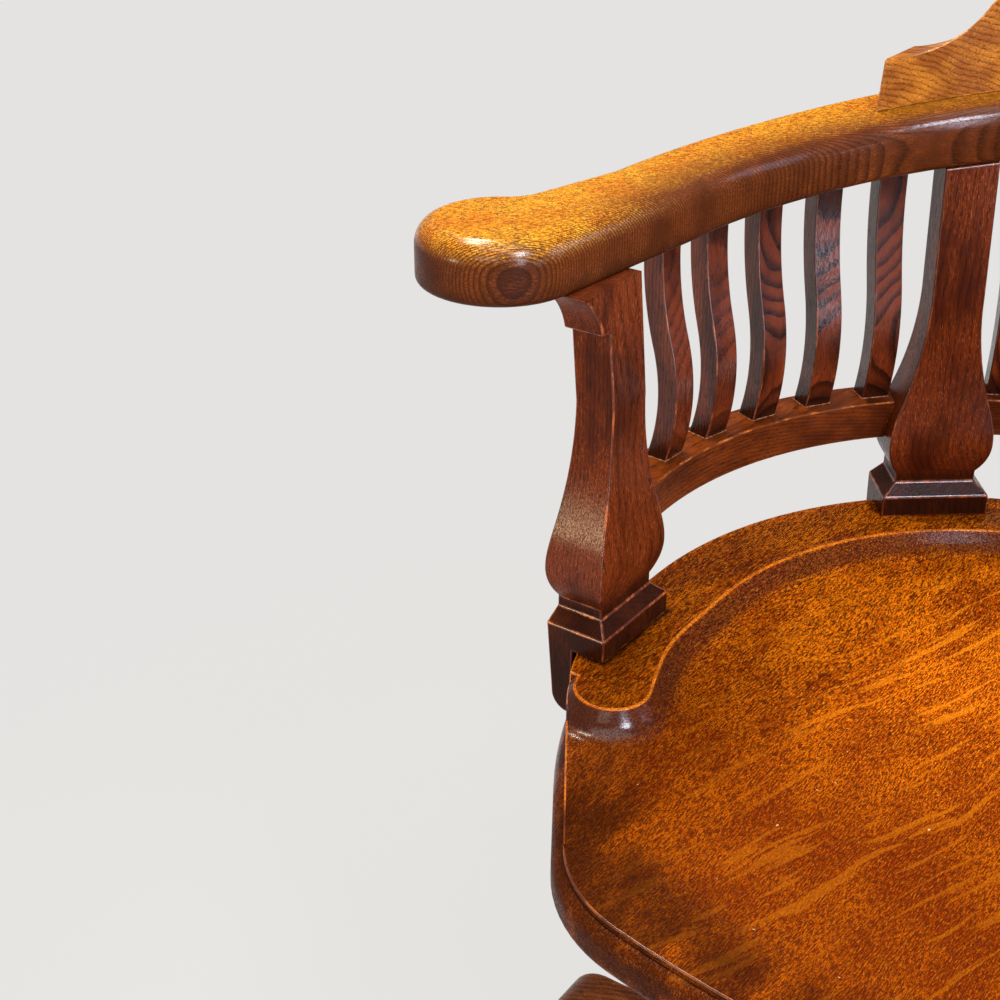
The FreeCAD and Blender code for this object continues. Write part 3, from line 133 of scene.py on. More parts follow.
class Finish(Bench):
    """A material under construction: wood, stain and polish, or metal and its surface."""

    def __init__(self, name):
        self.material = bpy.data.materials.new(name)
        self.material.use_nodes = True
        super().__init__(self.material.node_tree)
        self.tree.nodes.clear()

    def blend(self, share, under, over):
        """One colour laid over another."""
        settings = {"data_type": "RGBA", "blend_type": "MIX"}
        return self.add("ShaderNodeMix", settings, {0: share, 6: under, 7: over}, output=2)

    def place(self):
        """Where a point of the piece is, in metres."""
        return self.add("ShaderNodeTexCoord", output="Object")

    def split(self, vector):
        """A vector's three numbers."""
        return [self.add("ShaderNodeSeparateXYZ", None, {0: vector}, output=axis)
                for axis in range(3)]

    def noise(self, vector, detail=2.0, rough=0.5, twist=0.0):
        """Smooth random numbers about 0.5, with features about one unit across."""
        sockets = {"Vector": vector, "Scale": 1.0, "Detail": detail, "Roughness": rough,
                   "Distortion": twist}
        return self.add("ShaderNodeTexNoise", {"noise_dimensions": "3D"}, sockets)

    def sawn(self, grain, rings, middle):
        """Coordinates of a board: along the grain, across the year rings, and the third way."""
        grain, rings = Vector(grain).normalized(), Vector(rings).normalized()
        rings = (rings - grain * rings.dot(grain)).normalized()
        turn = Matrix((grain, rings, grain.cross(rings)))
        sockets = {"Vector": self.place(), "Location": -(turn @ Vector(middle)),
                   "Rotation": turn.to_euler()}
        return self.split(self.add("ShaderNodeMapping", {"vector_type": "POINT"}, sockets))

    def year_rings(self, along, across, third, pitch, wave, soft=0.45):
        """The open-grained early wood of each year: 1 where a year starts, fading through it."""
        slow = self.noise(self.joined(along * 7, across * 22, third * 22), 3.0)
        year = ((across + (slow - 0.5) * wave) / pitch).fraction()
        return year.ramp(0.88, 1.0).larger(year.ramp(soft, 0.0))

    def pores(self, along, across, third, length, width, low, high):
        """Dashes where the cut opens the pores or catches a ray."""
        vector = self.joined(along / length, across / width, third / width)
        return self.noise(vector, 2.0, 0.6).ramp(low, high)

    def close(self, colour, roughness, height, depth, metal=0.0, polish=0.0, polish_rough=0.1,
              mirror=0.5):
        """Ends a finish: its colour, sheen and relief, and a coat of polish or lacquer."""
        relief = self.add("ShaderNodeBump", None,
                          {"Strength": 1.0, "Distance": depth, "Height": height})
        sockets = {"Base Color": colour, "Roughness": roughness, "Normal": relief,
                   "Metallic": metal, "Specular IOR Level": mirror, "Coat Weight": polish,
                   "Coat Roughness": polish_rough}
        surface = self.add("ShaderNodeBsdfPrincipled", None, sockets)
        self.add("ShaderNodeOutputMaterial", None, {"Surface": surface})
        return self.material


def shade(red, green, blue):
    """A colour as a screen's 0 to 255 levels, turned to the linear light that shaders use."""
    levels = [level / 255 for level in (red, green, blue)]
    return tuple(level / 12.92 if level < 0.04045 else ((level + 0.055) / 1.055) ** 2.4
                 for level in levels)


def plain_oak(name, grain, rings, middle, pale, deep, pore, pitch=0.0022, wave=0.012, bow=0.0,
              pore_length=0.007, pore_width=0.0006, bands=0.5, soft=0.5, ray=None, gloss=0.17,
              mirror=0.09, grime=None, handled=None):
    """Stained oak of one tone, for the posts, slats, rails and the base. Grime is two heights:
    the wood is darker below the first, where the piece meets the part under it, and this fades
    out at the second; that darkening is painted shade in the joint, with polish and dirt gathered
    there. Handled is two heights between which hands have polished it."""
    oak = Finish(name)
    along, across, third = oak.sawn(grain, rings, middle)
    early = oak.year_rings(along, across + third * third * bow, third, pitch, wave, soft)
    dashes = oak.pores(along, across, third, pore_length, pore_width, 0.5, 0.62)
    cloud = oak.noise(oak.joined(along * 14, across * 40, third * 40), 5.0, 0.6)
    skin = oak.noise(oak.joined(along * 900, across * 1500, third * 1500), 3.0, 0.6)
    wood = oak.blend(cloud.ramp(0.38, 0.62), pale, deep)
    wood = oak.blend(early * (cloud + 0.4) * bands, wood, pore)
    wood = oak.blend(dashes * (early * 0.4 + 0.5), wood, pore)
    if ray:
        flecks = oak.pores(along, across + 0.4, third, pore_length * 0.5, pore_width, 0.58, 0.68)
        wood = oak.blend(flecks * cloud.ramp(0.6, 0.4) * 0.8, wood, ray)
    # Painted shade with gathered dirt: darker below the first grime height, where the piece meets
    # the part under it.
    if grime:
        height = oak.split(oak.place())[2] + (cloud - 0.5) * 0.012
        wood = oak.blend(height.ramp(grime[1], grime[0]) * 0.72, wood, shade(30, 13, 7))
    polish = 0.0
    if handled:
        height, (low, high) = oak.split(oak.place())[2], handled
        polish = height.ramp(low, low + 0.012) * height.ramp(high, high - 0.03)
        polish = polish * (1.0 - dashes * 0.7) * skin.ramp(0.3, 0.62) * 0.4
    sheen = dashes * 0.16 + cloud * 0.08 + gloss
    return oak.close(wood, sheen, skin * 0.7 - dashes - early * 0.3, 0.00009, mirror=mirror,
                     polish=polish, polish_rough=0.26)


def rubbed_oak(name, bare, stained, grain=(0.0, 0.0, 1.0), mirror=0.3):
    """Oak on an arris, where hands and cloths have rubbed the stain off here and there."""
    oak = Finish(name)
    x, y, z = oak.split(oak.place())
    stretch = [1.0 - 0.75 * abs(way) for way in grain]
    wear = oak.noise(oak.joined(x * 160 * stretch[0], y * 160 * stretch[1], z * 160 * stretch[2]),
                     4.0, 0.65)
    fine = oak.noise(oak.joined(x * 1100 * stretch[0], y * 1100 * stretch[1],
                                z * 1100 * stretch[2]), 2.0)
    wood = oak.blend(wear.ramp(0.45, 0.68), stained, bare)
    wood = oak.blend(fine.ramp(0.44, 0.6) * 0.7, wood, stained)
    return oak.close(wood, fine * 0.1 + 0.16, 0.0 - fine, 0.00005, mirror=mirror)


def arrises(work, width):
    """The sharp edges that have room for a bevel, each as its two vertices."""
    sharp_angle, side_by_side, room = math.radians(28), 0.8, width * 1.3
    sharp = {edge for edge in work.edges if edge.calc_face_angle(0.0) > sharp_angle}
    crowded = set()
    for vert in work.verts:
        ways = [(edge, (edge.other_vert(vert).co - vert.co).normalized())
                for edge in vert.link_edges if edge in sharp]
        for one, one_way in ways:
            for other, other_way in ways:
                if one is not other and one_way.dot(other_way) > side_by_side:
                    crowded.update((one, other))
    return {frozenset(vert.index for vert in edge.verts) for edge in sharp - crowded
            if edge.calc_length() > room}


def dressed(node, body, finish, arris=0.0, rubbed=None):
    """A node's mesh made whole and smooth, its arrises eased by a bevel of that width."""
    same_place, flat_angle, crease_angle, bevel_rows = 1e-6, 0.5, 30, 2
    work = bmesh.new()
    work.from_mesh(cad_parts[node].data)
    bmesh.ops.remove_doubles(work, verts=work.verts, dist=same_place)
    if arris:
        bmesh.ops.dissolve_limit(work, angle_limit=math.radians(flat_angle), verts=work.verts,
                                 edges=work.edges)
    work.verts.index_update()
    corners = [vert.co[:] for vert in work.verts]
    faces = [[vert.index for vert in face.verts] for face in work.faces]
    eased = arrises(work, arris) if arris else set()
    work.free()
    mesh = bpy.data.meshes.new(node)
    mesh.from_pydata(corners, [], faces)
    mesh.materials.append(finish)
    if rubbed:
        mesh.materials.append(rubbed)
    mesh.polygons.foreach_set("use_smooth", [True] * len(mesh.polygons))
    thing = bpy.data.objects.new(node, mesh)
    bpy.context.scene.collection.objects.link(thing)
    if arris:
        bevel = thing.modifiers.new("eased arrises", "BEVEL")
        weight = mesh.attributes.new("bevel_weight_edge", "FLOAT", "EDGE")
        weight.data.foreach_set("value", [float(frozenset(edge.vertices) in eased)
                                          for edge in mesh.edges])
        bevel.limit_method = "WEIGHT"
        bevel.width, bevel.segments = arris, bevel_rows
        bevel.use_clamp_overlap = False
        bevel.harden_normals = True
        bevel.material = 1 if rubbed else -1
    else:
        mesh.set_sharp_from_angle(angle=math.radians(crease_angle))
    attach(thing, body)
    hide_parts(node)
    return thing


hub_oak = plain_oak("hub oak", (0, 0, 1), (1, 0.2, 0), (0.05, 0.02, 0), shade(104, 54, 24),
                    shade(74, 34, 14), shade(30, 13, 6), bow=4.0)
rubbed_base = rubbed_oak("rubbed base oak", shade(150, 84, 38), shade(74, 34, 14))
dressed("hub", "base", hub_oak, 0.0012, rubbed=rubbed_base)
peg_oak = plain_oak("peg oak", (1, 0, 0), (0, 1, 0.3), (0, 0, 0), shade(150, 108, 62),
                    shade(120, 82, 44), shade(70, 44, 22))
dressed("leg_pegs", "base", peg_oak)


# Legs: four sawn oak legs with rounded upper edges, butted and pegged on the hub's block. Each
# is cut from its own board, with the grain running down the leg.

fall = -0.45
for side, run in (("front", (0, -1, fall)), ("right", (1, 0, fall)), ("back", (0, 1, fall)),
                  ("left", (-1, 0, fall))):
    flat = (run[1] * 0.4 + 0.1, -run[0] * 0.4 + 0.1, 1.0)
    leg_oak = plain_oak("leg oak " + side, run, flat, (run[0] * 0.03, run[1] * 0.03, 0.3),
                        shade(116, 62, 28), shade(82, 38, 16), shade(32, 14, 6), pitch=0.003,
                        wave=0.02, bow=1.5)
    dressed("leg_" + side, "base", leg_oak, 0.0012, rubbed=rubbed_base)


# Castors: pressed brass sockets let into the feet, forked horns with riveted axles that turn
# in them, and turned wheels of a hard dark composition. All are dull and worn from the floor.

def aged_metal(name, bright, dark, grime, size, metal=1.0, rough=0.35, grime_share=0.5,
               depth=0.0001, polish=0.0):
    """Metal with a dull film, darker in patches, and a lightly uneven surface."""
    metal_finish = Finish(name)
    x, y, z = metal_finish.split(metal_finish.place())
    patch = metal_finish.noise(metal_finish.joined(x / size, y / size, z / size), 4.0, 0.6)
    speck = metal_finish.noise(metal_finish.joined(x * 900, y * 900, z * 900), 2.0, 0.6)
    colour = metal_finish.blend(patch.ramp(0.35, 0.65), bright, dark)
    film = (patch * 0.6 + speck * 0.4).ramp(0.5, 0.62) * grime_share
    colour = metal_finish.blend(film, colour, grime)
    return metal_finish.close(colour, patch * 0.25 + film * 0.25 + rough, speck + patch * 0.5,
                              depth, metal=metal, polish=polish)


class Jig(Bench):
    """A tree of geometry nodes, with named inputs for its sizes, that makes like pieces."""

    def __init__(self, name, **sizes):
        super().__init__(bpy.data.node_groups.new(name, "GeometryNodeTree"))
        face = self.tree.interface
        face.new_socket("Geometry", in_out="INPUT", socket_type="NodeSocketGeometry")
        face.new_socket("Geometry", in_out="OUTPUT", socket_type="NodeSocketGeometry")
        self.sockets, self.sizes = {}, sizes
        for word in sizes:
            self.sockets[word] = face.new_socket(word, in_out="INPUT",
                                                 socket_type="NodeSocketFloat").identifier
        self.entry = self.tree.nodes.new("NodeGroupInput")

    def size(self, word):
        """One of the named inputs, or the geometry."""
        return Value(self, self.entry.outputs[word])

    def on_places(self, shape, finish, turn=None):
        """Ends the tree: the shape on every point, as one mesh of one finish."""
        sockets = {"Points": self.size("Geometry"), "Instance": shape}
        if turn:
            sockets["Rotation"] = turn
        copies = self.add("GeometryNodeInstanceOnPoints", None, sockets)
        whole = self.add("GeometryNodeRealizeInstances", None, {"Geometry": copies})
        done = self.add("GeometryNodeSetMaterial", None, {"Geometry": whole, "Material": finish})
        self.add("NodeGroupOutput", None, {0: done})

    def make(self, piece, body, slot, finish, places, **marks):
        """One plain mesh from the tree, on points with their own marks, riding on a body."""
        points = bpy.data.meshes.new(piece + " places")
        points.from_pydata([tuple(place) for place in places], [], [])
        for word, values in marks.items():
            points.attributes.new(word, "FLOAT", "POINT").data.foreach_set("value", values)
        holder = bpy.data.objects.new(piece + " places", points)
        bpy.context.scene.collection.objects.link(holder)
        nodes = holder.modifiers.new("jig", "NODES")
        nodes.node_group = self.tree
        for word, value in self.sizes.items():
            nodes[self.sockets[word]] = value
        graph = bpy.context.evaluated_depsgraph_get()
        mesh = bpy.data.meshes.new_from_object(holder.evaluated_get(graph))
        bpy.data.objects.remove(holder)
        mesh.name = piece
        if not mesh.materials:
            mesh.materials.append(finish)
        mesh.set_sharp_from_angle(angle=math.radians(40))
        thing = bpy.data.objects.new(piece, mesh)
        bpy.context.scene.collection.objects.link(thing)
        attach(thing, body)
        return thing


brass = aged_metal("castor brass", shade(176, 140, 78), shade(128, 94, 48), shade(58, 42, 24),
                   0.014, rough=0.26)
tread = aged_metal("castor composition", shade(52, 38, 30), shade(34, 25, 20), shade(70, 58, 48),
                   0.009, metal=0.0, rough=0.42, grime_share=0.4)

rivet = Jig("rivet head", radius=0.0046, rise=0.0013)
ball = rivet.add("GeometryNodeMeshUVSphere", None,
                 {"Segments": 20, "Rings": 10, "Radius": rivet.size("radius")})
flat_ball = rivet.add("GeometryNodeTransform", None, {
    "Geometry": ball,
    "Scale": rivet.joined(1.0, 1.0, rivet.size("rise") / rivet.size("radius"))})
quarter = rivet.add("GeometryNodeInputNamedAttribute", {"data_type": "FLOAT"}, {"Name": "turn"})
rivet.on_places(flat_ball, brass, rivet.joined(math.pi / 2, 0.0, quarter))

axle_reach, rivet_aside, axle_height = 0.308, 0.0152, 0.025
dressed("castor_sockets", "base", brass)
for side, turn in (("front", 270), ("right", 0), ("back", 90), ("left", 180)):
    dressed("castor_fork_" + side, "castor_" + side, brass, 0.0005)
    dressed("castor_wheel_" + side, "roller_" + side, tread)
    spin = Matrix.Rotation(math.radians(turn), 3, "Z")
    ends = [spin @ Vector((axle_reach, way * rivet_aside, axle_height)) for way in (-1, 1)]
    rivet.make("castor_rivets_" + side, "castor_" + side, "castor_brass", brass, ends,
               turn=[math.radians(turn)] * 2)


# Hub socket, bush, hand wheel and spindle: the iron and steel of the swivel. The wheel is cast
# and japanned, the spindle is turned bright and cut with a square thread.

iron = aged_metal("japanned iron", shade(34, 32, 31), shade(24, 22, 22), shade(58, 44, 36), 0.02,
                  metal=0.0, rough=0.3, grime_share=0.35, depth=0.0002, polish=0.4)
steel = aged_metal("oiled steel", shade(150, 146, 140), shade(112, 106, 98), shade(62, 48, 38),
                   0.018, rough=0.24)
screw_steel = aged_metal("screw steel", shade(120, 112, 104), shade(86, 76, 68), shade(70, 46, 30),
                         0.005, rough=0.36, grime_share=0.7)
dressed("hub_socket", "base", iron)
dressed("hub_screws", "base", screw_steel)
dressed("swivel_bush", "swivel", steel)
dressed("hand_wheel", "handwheel", iron)

thread_pitch, thread_depth = 0.006, 0.0006
threaded = Finish("threaded steel")
x, y, z = threaded.split(threaded.place())
round_turn = threaded.add("ShaderNodeMath", {"operation": "ARCTAN2"}, {0: y, 1: x}) / (2 * math.pi)
groove = (z / thread_pitch - round_turn).fraction()
groove = groove.ramp(0.42, 0.5) * groove.ramp(1.0, 0.92)
oil = threaded.noise(threaded.joined(x * 70, y * 70, z * 70), 4.0, 0.6)
cut_steel = threaded.blend(oil.ramp(0.35, 0.65), shade(160, 156, 148), shade(120, 112, 102))
# Painted shade in the thread's groove, which is cut only as relief.
cut_steel = threaded.blend(groove * 0.85, cut_steel, shade(40, 32, 26))
threaded.close(cut_steel, oil * 0.2 + groove * 0.2 + 0.2, 0.0 - groove, thread_depth, metal=1.0)
dressed("spindle", "column", threaded.material)


# Yoke, pivot pin, tie rods, springs and nuts: the tilting iron. The yoke is a japanned casting,
# the springs are tempered wire that the nuts squeeze against the underside of the bar.

spring_steel = aged_metal("spring steel", shade(92, 90, 92), shade(62, 60, 64), shade(74, 50, 36),
                          0.012, rough=0.3, grime_share=0.5)
dressed("yoke", "column", iron, 0.0012)
dressed("pivot_pin", "chair", steel)

thread = Jig("rolled thread", radius=0.0049, ridge=0.00045, turns=34.0, rise=0.052)
helix = thread.add("GeometryNodeCurveSpiral", None, {
    "Resolution": 20, "Rotations": thread.size("turns"), "Start Radius": thread.size("radius"),
    "End Radius": thread.size("radius"), "Height": thread.size("rise")})
ridge = thread.add("GeometryNodeCurvePrimitiveCircle", {"mode": "RADIUS"},
                   {"Resolution": 4, "Radius": thread.size("ridge")})
wound = thread.add("GeometryNodeCurveToMesh", None,
                   {"Curve": helix, "Profile Curve": ridge, "Fill Caps": True})
thread.on_places(wound, steel)

for side, way in (("left", -1), ("right", 1)):
    dressed("tie_rod_" + side, "rod_" + side, steel)
    low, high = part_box("tie_rod_" + side)
    foot = ((low.x + high.x) / 2, (low.y + high.y) / 2, low.z + 0.001)
    thread.make("rod_thread_" + side, "rod_" + side, "bright_steel", steel, [foot])
    dressed("tension_nut_" + side, "rod_" + side, iron, 0.0005)
    spring = dressed("spring_" + side, "column", spring_steel)
    low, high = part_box("spring_" + side)
    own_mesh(spring)


# Seat iron: the plate screwed under the seat, with the ears of the pivot, the lugs of the tie
# rods and the stop. It is cast in one and japanned, and held by six slotted round-head screws.

dressed("seat_iron", "chair", iron, 0.0008)

slotted = Jig("slotted screw", head=0.007, rise=0.0035, slot_width=0.0014, slot_depth=0.0016,
              shank=0.0034, length=0.024)
dome = slotted.add("GeometryNodeMeshUVSphere", None,
                   {"Segments": 28, "Rings": 14, "Radius": slotted.size("head")})
dome = slotted.add("GeometryNodeTransform", None, {
    "Geometry": dome,
    "Scale": slotted.joined(1.0, 1.0, slotted.size("rise") / slotted.size("head"))})
blade = slotted.add("GeometryNodeMeshCube", None, {
    "Size": slotted.joined(slotted.size("head") * 3, slotted.size("slot_width"),
                           slotted.size("slot_depth") * 2)})
blade = slotted.add("GeometryNodeTransform", None, {
    "Geometry": blade, "Translation": slotted.joined(0.0, 0.0, 0.0 - slotted.size("rise"))})
head = slotted.add("GeometryNodeMeshBoolean", {"operation": "DIFFERENCE"},
                   {"Mesh 1": dome, "Mesh 2": [blade]})
shank = slotted.add("GeometryNodeMeshCylinder", None, {
    "Vertices": 16, "Radius": slotted.size("shank"), "Depth": slotted.size("length")})
shank = slotted.add("GeometryNodeTransform", None, {
    "Geometry": shank, "Translation": slotted.joined(0.0, 0.0, slotted.size("length") / 2)})
whole_screw = slotted.add("GeometryNodeJoinGeometry", None, {"Geometry": [head, shank]})
driven = slotted.add("FunctionNodeRandomValue", {"data_type": "FLOAT"},
                     {2: 0.0, 3: math.pi, "Seed": 5}, output=1)
slotted.on_places(whole_screw, screw_steel, slotted.joined(0.0, 0.0, driven))

low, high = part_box("seat_iron")
screw_aside, screw_rows, plate = 0.066, (0.069, -0.03, -0.129), 0.006
screw_spots = [(way * screw_aside, row, high.z - plate) for way in (-1, 1) for row in screw_rows]
screws = slotted.make("seat_iron_screws", "chair", "screw_steel", screw_steel, screw_spots)
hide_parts("seat_iron_screws")
dressed("post_screws", "chair", screw_steel)


# Seat: one thick oak board, worn to a deep orange brown, full of short dark pores, with paler
# ray streaks towards the middle. The cove under the rim is darkened with painted shade, the rim
# carries a painted shadow towards the left post, and the seat round each post's foot carries
# painted shade; the rim's arris is rubbed bright.

def seat_finish():
    """The seat's finish; the grain runs from front to back."""
    oak = Finish("seat oak")
    x, y, z = oak.split(oak.place())
    drift = oak.noise(oak.joined(x * 5, y * 3, z * 3), 2.0) - 0.5
    sway = oak.noise(oak.joined(x * 26, y * 17, z * 26), 2.0) - 0.5
    across = x + drift * 0.03 + sway * 0.004
    along = y + drift * 0.02
    cloud = oak.noise(oak.joined(x * 34, y * 15, z * 34), 5.0, 0.62)
    broad = oak.noise(oak.joined(x * 9, y * 6, z * 9 + 3.0), 3.0, 0.5)
    dashes = oak.pores(along, across, z, 0.0046, 0.0008, 0.49, 0.57)
    fine = oak.pores(along, across + 0.3, z, 0.0016, 0.0008, 0.5, 0.57)
    bright = oak.pores(along, across + 0.7, z, 0.0036, 0.0008, 0.53, 0.6)
    leaning, level = x * 0.31 + y * 0.95, x * 0.95 - y * 0.31
    rays = oak.noise(oak.joined(leaning / 0.075, (level + drift * 0.06 + sway * 0.01) / 0.0052,
                                z / 0.0052), 2.0, 0.5, 0.3)
    rays = rays.ramp(0.56, 0.63) * (x + drift * 0.12).ramp(-0.2, -0.08) * broad.ramp(0.36, 0.5)
    wood = oak.blend(cloud.ramp(0.38, 0.62), shade(232, 114, 4), shade(172, 68, 1))
    wood = oak.blend(broad.ramp(0.46, 0.34) * 0.35, wood, shade(112, 40, 2))
    wood = oak.blend(bright * 0.75, wood, shade(246, 146, 26))
    wood = oak.blend(rays * 0.75, wood, shade(234, 132, 16))
    wood = oak.blend(dashes * 0.85 * (1.0 - rays * 0.7), wood, shade(60, 17, 1))
    wood = oak.blend(fine * 0.7 * (1.0 - rays * 0.5), wood, shade(68, 21, 1))
    rim = z.ramp(0.4692, 0.4698)
    wood = oak.blend(y.ramp(0.04, -0.16) * (1.0 - rim * 0.8) * 0.66, wood, shade(90, 27, 0))
    far = (x * x + y * y).root() + drift * 0.04
    smudge = (cloud * 0.6 + broad * 0.4).ramp(0.38, 0.54) * far.ramp(0.212, 0.262)
    wood = oak.blend(smudge * y.ramp(-0.1, -0.17) * 0.72, wood, shade(34, 12, 2))
    # Painted shadow: the rim darkens towards the left post.
    wood = oak.blend(rim * (x + cloud * 0.05).ramp(-0.12, -0.17) * 0.34, wood, shade(76, 24, 2))
    under_rim = z.ramp(0.4697, 0.4680)
    cove = under_rim * z.ramp(0.4562, 0.4610)
    # Painted shade: the cove under the rim is darkened, as it faces away from the light.
    wood = oak.blend(cove * (cloud.ramp(0.7, 0.3) * 0.3 + 0.5), wood, shade(50, 19, 14))
    behind = y.larger(0.0)
    reach = (x * x + behind * behind).root() + drift * 0.006
    edge = z.ramp(0.4675, 0.464) * reach.ramp(0.243, 0.2475)
    wood = oak.blend(edge * 0.5, wood, shade(60, 24, 12))
    beside = (x * x).root()
    # Painted shade round the foot of each post, where it meets the seat.
    post_aside, post_forward, half_width, half_depth = 0.242, 0.07, 0.0198, 0.0355
    gap = (beside - post_aside).absolute() - half_width
    gap = gap.larger((y + post_forward).absolute() - half_depth)
    wood = oak.blend((gap + (cloud - 0.5) * 0.004).ramp(0.004, 0.0) * 0.85, wood, shade(24, 9, 3))
    speck = oak.noise(oak.joined(x / 0.0023, y / 0.0023, z / 0.0023), 0.0).ramp(0.9, 0.92)
    wood = oak.blend(speck * 0.7, wood, shade(226, 190, 140))
    skin = oak.noise(oak.joined(x * 1300, y * 900, z * 1300), 3.0, 0.6)
    sheen = dashes * 0.2 + cloud * 0.1 + 0.22 - cove * 0.08
    relief = skin * 0.5 - dashes - fine * 0.5
    nose_aside, nose_forward = 0.195, 0.152
    past, before = beside - nose_aside, y + nose_forward
    nose = (past * past + before * before).root().ramp(0.046, 0.024) * under_rim
    polish = (nose * 0.85 + cove * 0.05) * (1.0 - fine * 0.45) * skin.ramp(0.25, 0.55)
    return oak.close(wood, sheen, relief, 0.00014, polish=polish, polish_rough=0.17, mirror=0.05)


def rim_arris():
    """The seat's arrises: rubbed to bright wood round the saddle, dark on the outer edge."""
    oak = Finish("seat arris oak")
    x, y, z = oak.split(oak.place())
    wear = oak.noise(oak.joined(x * 70, y * 50, z * 70), 4.0, 0.65)
    fine = oak.noise(oak.joined(x * 1100, y * 600, z * 1100), 2.0)
    behind = y.larger(0.0)
    inner = (x * x + behind * behind).root().ramp(0.243, 0.238) * y.ramp(-0.215, -0.2)
    wood = oak.blend(wear.ramp(0.3, 0.6), shade(176, 84, 14), shade(232, 128, 28))
    wood = oak.blend(fine.ramp(0.42, 0.62) * 0.7, wood, shade(112, 46, 6))
    dark = oak.blend(wear.ramp(0.4, 0.66), shade(84, 40, 20), shade(140, 72, 30))
    wood = oak.blend(inner, dark, wood)
    return oak.close(wood, fine * 0.1 + 0.18, 0.0 - fine, 0.00006, mirror=0.25)


dressed("seat", "chair", seat_finish(), 0.0010, rubbed=rim_arris())


# Posts: four oak uprights, sawn from the front and from the side to a swelling foot, chamfered
# over a square block, and lapped over the seat's edge. Stained dark red brown, rubbed at the
# arrises.

rubbed_post = rubbed_oak("rubbed post oak", shade(184, 94, 42), shade(84, 33, 13), mirror=0.5)
for end in ("front", "rear"):
    for side, way in (("left", -1), ("right", 1)):
        node = "%s_post_%s" % (end, side)
        low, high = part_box(node)
        # Grime darkens each post's block where it stands on the seat: painted shade with gathered
        # dirt.
        post_oak = plain_oak("post oak %s %s" % (end, side), (0.05 * way, 0, 1), (1, 0.35 * way, 0),
                             ((low + high) / 2 + Vector((0.12 * way, 0.03, 0)))[:],
                             shade(114, 46, 15), shade(78, 29, 10), shade(34, 12, 5),
                             pitch=0.0024, wave=0.008, bands=0.35, pore_length=0.008,
                             pore_width=0.0005, ray=shade(172, 88, 46), gloss=0.15,
                             grime=(0.494, 0.503), handled=(0.51, 0.585))
        dressed(node, "chair", post_oak, 0.001, rubbed=rubbed_post)


# Lower rail: three bowed lengths that carry the feet of the slats. They are sawn from oak, stained
# as the posts are, and tenoned between them.

rubbed_rail = rubbed_oak("rubbed rail oak", shade(214, 124, 52), shade(110, 50, 18),
                         (0.5, 0.5, 0.0))
for side, middle in (("left", (-0.25, 0, 0)), ("back", (0, 0.25, 0)), ("right", (0.25, 0, 0))):
    rail_oak = plain_oak("rail oak " + side, (0.15, 1, 0) if side != "back" else (1, 0.1, 0),
                         (0.3, 0, 1), middle, shade(128, 58, 17), shade(86, 35, 9),
                         shade(38, 14, 5), pitch=0.0026, bands=0.4)
    dressed("lower_rail_" + side, "chair", rail_oak, 0.001, rubbed=rubbed_rail)


# Slats: S-curved back slats, sawn from the board, so that the year rings run out on their broad
# faces in dark waves. Each comes from another part of the board. A thin line of glue and old
# polish shows round each foot.

rubbed_slat = rubbed_oak("rubbed slat oak", shade(170, 92, 54), shade(84, 36, 18), mirror=0.7)
draw = random.Random(7)
foot_reach = 0.25785
feet, foot_turns = [], []
for count in range(1, 18):
    node = "slat_%02d" % count
    low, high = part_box(node)
    middle = (low + high) / 2
    out = Vector((middle.x, middle.y, 0)).normalized()
    aside = Vector((-out.y, out.x, 0))
    rings = out + aside * draw.uniform(-0.3, 0.3) + Vector((0, 0, draw.uniform(-0.16, 0.16)))
    plainer_board = count % 15 < 3
    # Grime darkens each slat's foot where it enters the rail: painted shade with gathered dirt.
    slat_oak = plain_oak("slat oak %02d" % count, (0, 0, 1), rings[:],
                         (middle + aside * draw.uniform(0.01, 0.03))[:], shade(128, 54, 24),
                         shade(86, 33, 15), shade(26, 9, 6), pitch=0.0024, wave=0.009,
                         bow=draw.uniform(-6, 6), bands=0.5 if plainer_board else 0.95,
                         soft=0.6, gloss=0.1, mirror=0.28,
                         grime=(low.z + 0.005, low.z + 0.02), handled=(0.56, 0.72))
    dressed(node, "chair", slat_oak, 0.0009, rubbed=rubbed_slat)
    feet.append(out * foot_reach + Vector((0, 0, low.z)))
    foot_turns.append(math.atan2(out.y, out.x))

old_glue = Finish("old glue")
crumbs = old_glue.noise(old_glue.joined(*[axis * 500 for axis in old_glue.split(old_glue.place())]),
                        3.0)
old_glue.close(old_glue.blend(crumbs.ramp(0.35, 0.62), shade(86, 48, 26), shade(178, 120, 84)),
               crumbs * 0.3 + 0.3, crumbs, 0.0001, mirror=0.3)
glue_line = Jig("glue line", depth=0.0146, width=0.0188, thickness=0.00045)
outline = glue_line.add("GeometryNodeCurvePrimitiveQuadrilateral", {"mode": "RECTANGLE"},
                        {"Width": glue_line.size("depth"), "Height": glue_line.size("width")})
bead = glue_line.add("GeometryNodeCurvePrimitiveCircle", {"mode": "RADIUS"},
                     {"Resolution": 8, "Radius": glue_line.size("thickness")})
line = glue_line.add("GeometryNodeCurveToMesh", None, {"Curve": outline, "Profile Curve": bead})
foot_turn = glue_line.add("GeometryNodeInputNamedAttribute", {"data_type": "FLOAT"},
                          {"Name": "turn"})
glue_line.on_places(line, old_glue.material, glue_line.joined(0.0, 0.0, foot_turn))
glue_line.make("slat_glue", "chair", "oak_raw", old_glue.material, feet, turn=foot_turns)
